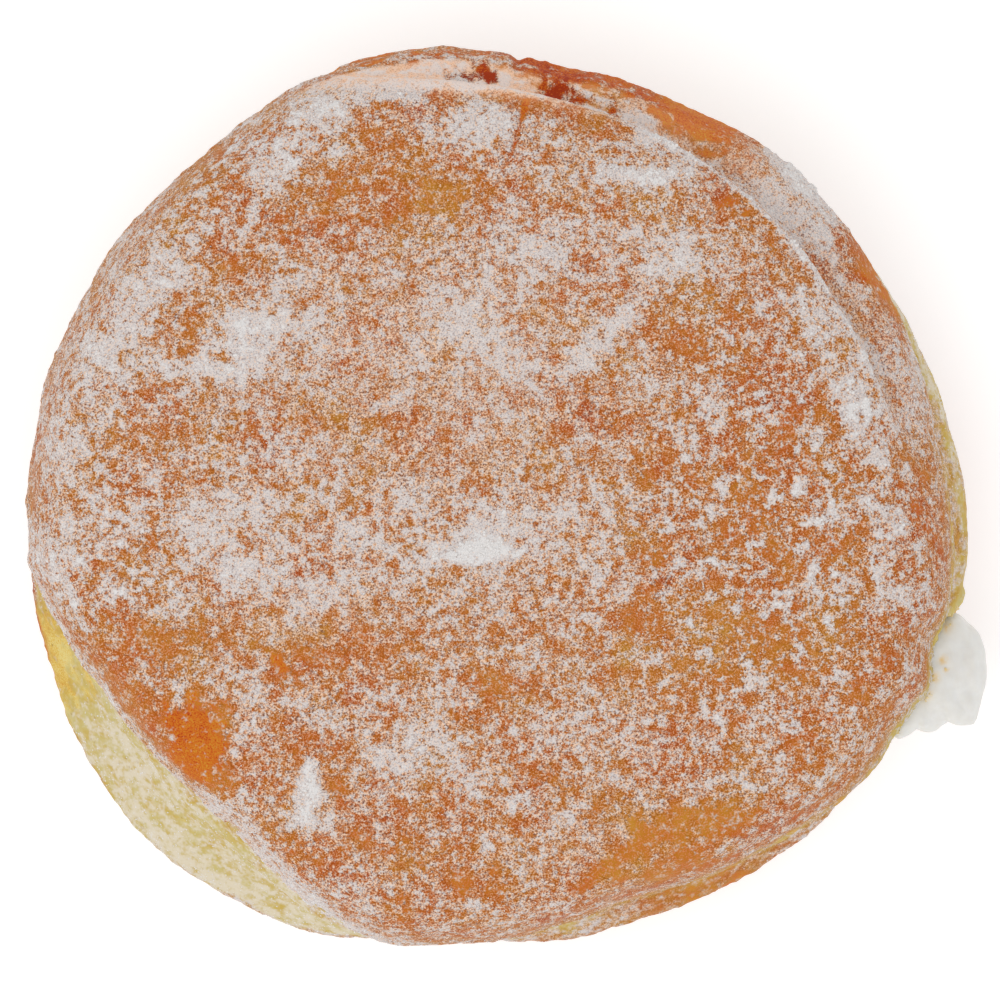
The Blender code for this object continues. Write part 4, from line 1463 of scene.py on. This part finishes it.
SQUARE_MM = 1e6  # in a square metre
grainy = sugar * (1 - 0.6 * even_film_and_painted_light)
GRAINS = (  # (..., (grains to a square mm, sugar from, sugar to, smallest, largest, sides, seed))
    (crust, grainy, "fine_sugar", (3.4, 0.15, 0.95, 0.09, 0.20, 4, 1)),
    (crust, grainy, "coarse_sugar", (3.0, 0.55, 1.20, 0.14, 0.28, 4, 2)),
    (crust, grainy, "sugar_clumps", (12.0, 1.00, 1.65, 0.16, 0.40, 6, 3)),
    (base_skin, base_sugar, "sugar_below", (3.6, 0.15, 0.95, 0.09, 0.24, 4, 4)),
)
loose = []
for ground, grain_share, name, (per_mm2, least, most, smallest, largest, sides, seed) in GRAINS:
    loose.append(dropped_on(ground, grain_share, name, grain_look, {
        "Per Square Metre": per_mm2 * SQUARE_MM, "Sugar From": least, "Sugar To": most,
        "Smallest": smallest * MM, "Largest": largest * MM, "Sides": sides, "Seed": seed,
    }))

# %% [markdown]
# ## Crumbs at the torn mouth
# The nozzle tore the crumb, so the hole's rim is rough with yellow crumbs and a few stick to the
# cream. The same scattering tree drops them, with larger grains, where a second share says how
# near the rim a point is. Noise then bends each crumb out of its even shape.

# %% Drop the crumbs
BEND = 0.16 * MM  # how far noise moves a crumb's points

torn_look, tree, principled = new_material("torn_crumb")
crumb_tone = noise(tree, 0.9 * MM, detail=2.0)
crumb_colour = ramp(tree, crumb_tone, ((0.35, seen(230, 200, 132)), (0.65, seen(238, 226, 190))))
link_or_set(tree, principled.inputs["Base Color"], crumb_colour)
principled.inputs["Roughness"].default_value = 0.8
principled.inputs["Specular IOR Level"].default_value = 0.2

near_rim = 0.6 * bump(from_hole(base_shaped) - 1.03, 0.06)
CRUMBS = (  # (..., (crumbs to a square mm, smallest, largest, seed))
    (base_skin, "torn_crumbs", near_rim, (5.0, 0.15, 0.50, 11)),
    (cream, "crumbs_on_cream", near_tear, (3.5, 0.12, 0.36, 12)),
)
for ground, name, torn_share, (per_mm2, smallest, largest, seed) in CRUMBS:
    made = dropped_on(ground, torn_share, name, torn_look, {
        "Per Square Metre": per_mm2 * SQUARE_MM, "Sugar From": 0.1, "Sugar To": 1.0,
        "Smallest": smallest * MM, "Largest": largest * MM, "Sides": 8, "Seed": seed,
    })
    places = np.array([v.co for v in made.data.vertices])
    bend = BEND * np.stack([lattice_noise(places, 0.32 * MM, seed + more) for more in (1, 2, 3)], 1)
    move_points(made, places + bend)
    print(name, "bent by up to", (np.abs(bend).max() / MM).round(2), "mm")
    made.data.shade_smooth()
    loose.append(made)

# %% [markdown]
# ## Stage, light and camera
# A pale floor, an even pale sky and one large soft lamp from the side where the crust stands
# highest, so that the folded side falls into a light shade. The floor glows a little by itself, so
# that it stays pale under the doughnut's shade. The plain view transform keeps colours as written.

# %% Floor, sky and lamp
FLOOR_HALF = 4.0  # metres
FLOOR_GLOW, SKY_LIGHT = 0.42, 0.77
LAMP_PLACE, LAMP_WIDE, LAMP_WATTS = (-0.22, -0.28, 1.15), 0.8, 4.1  # metres and watts

scene.view_settings.view_transform = "Standard"

floor_corners = np.array([(-1, -1, 0), (1, -1, 0), (1, 1, 0), (-1, 1, 0)]) * FLOOR_HALF
floor = mesh_object("floor", floor_corners, np.array([(0, 1, 2), (0, 2, 3)]))
floor_look, tree, principled = new_material("pale_floor")
principled.inputs["Base Color"].default_value = seen(225, 225, 225)
principled.inputs["Emission Color"].default_value = (1.0, 1.0, 1.0, 1.0)
principled.inputs["Emission Strength"].default_value = FLOOR_GLOW
principled.inputs["Roughness"].default_value = 0.9
floor.data.materials.append(floor_look)

sky = bpy.data.worlds.new("sky")
scene.world = sky
sky.use_nodes = True
background = sky.node_tree.nodes["Background"]
background.inputs["Color"].default_value = (1.0, 1.0, 1.0, 1.0)
background.inputs["Strength"].default_value = SKY_LIGHT

lamp_data = bpy.data.lights.new("soft_lamp", "AREA")
lamp_data.shape, lamp_data.size, lamp_data.energy = "DISK", LAMP_WIDE, LAMP_WATTS
lamp = bpy.data.objects.new("soft_lamp", lamp_data)
lamp.location = LAMP_PLACE
lamp.rotation_euler = (-lamp.location).to_track_quat("-Z", "Y").to_euler()
scene.collection.objects.link(lamp)
print("lamp's distance in metres:", round(lamp.location.length, 2))

# %% [markdown]
# ## The camera
# It looks straight down from 1.4 metres with a long lens, a hair beside the dough's axis, so the
# outline shows hardly any perspective. An orthographic camera would show none, but a real one always
# sees a little of it.

# %% Set the camera
CAMERA_HEIGHT = 1.4  # metres
LENS = 507.0  # millimetres
BESIDE_AXIS = (0.49 * MM, -0.29 * MM)

camera_data = bpy.data.cameras.new("camera")
camera_data.lens, camera_data.clip_start, camera_data.clip_end = LENS, 0.1, 20.0
camera = bpy.data.objects.new("camera", camera_data)
camera.location = (axis.x + BESIDE_AXIS[0], axis.y + BESIDE_AXIS[1], CAMERA_HEIGHT)
scene.collection.objects.link(camera)
scene.camera = camera
print("camera at", [round(v, 4) for v in camera.location])

# %% [markdown]
# ## Tying the pieces to the model
# Each piece says which body it moves with, and the solids that the fine skins stand in for are
# hidden. Loose grains and crumbs stand for no solid of their own.

# %% Tie the pieces to the solid model
for piece in (crust, base_skin):
    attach(piece, "root")
    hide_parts("dough")
for piece in loose:
    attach(piece, "root")
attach(cream, "root")
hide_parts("cream")
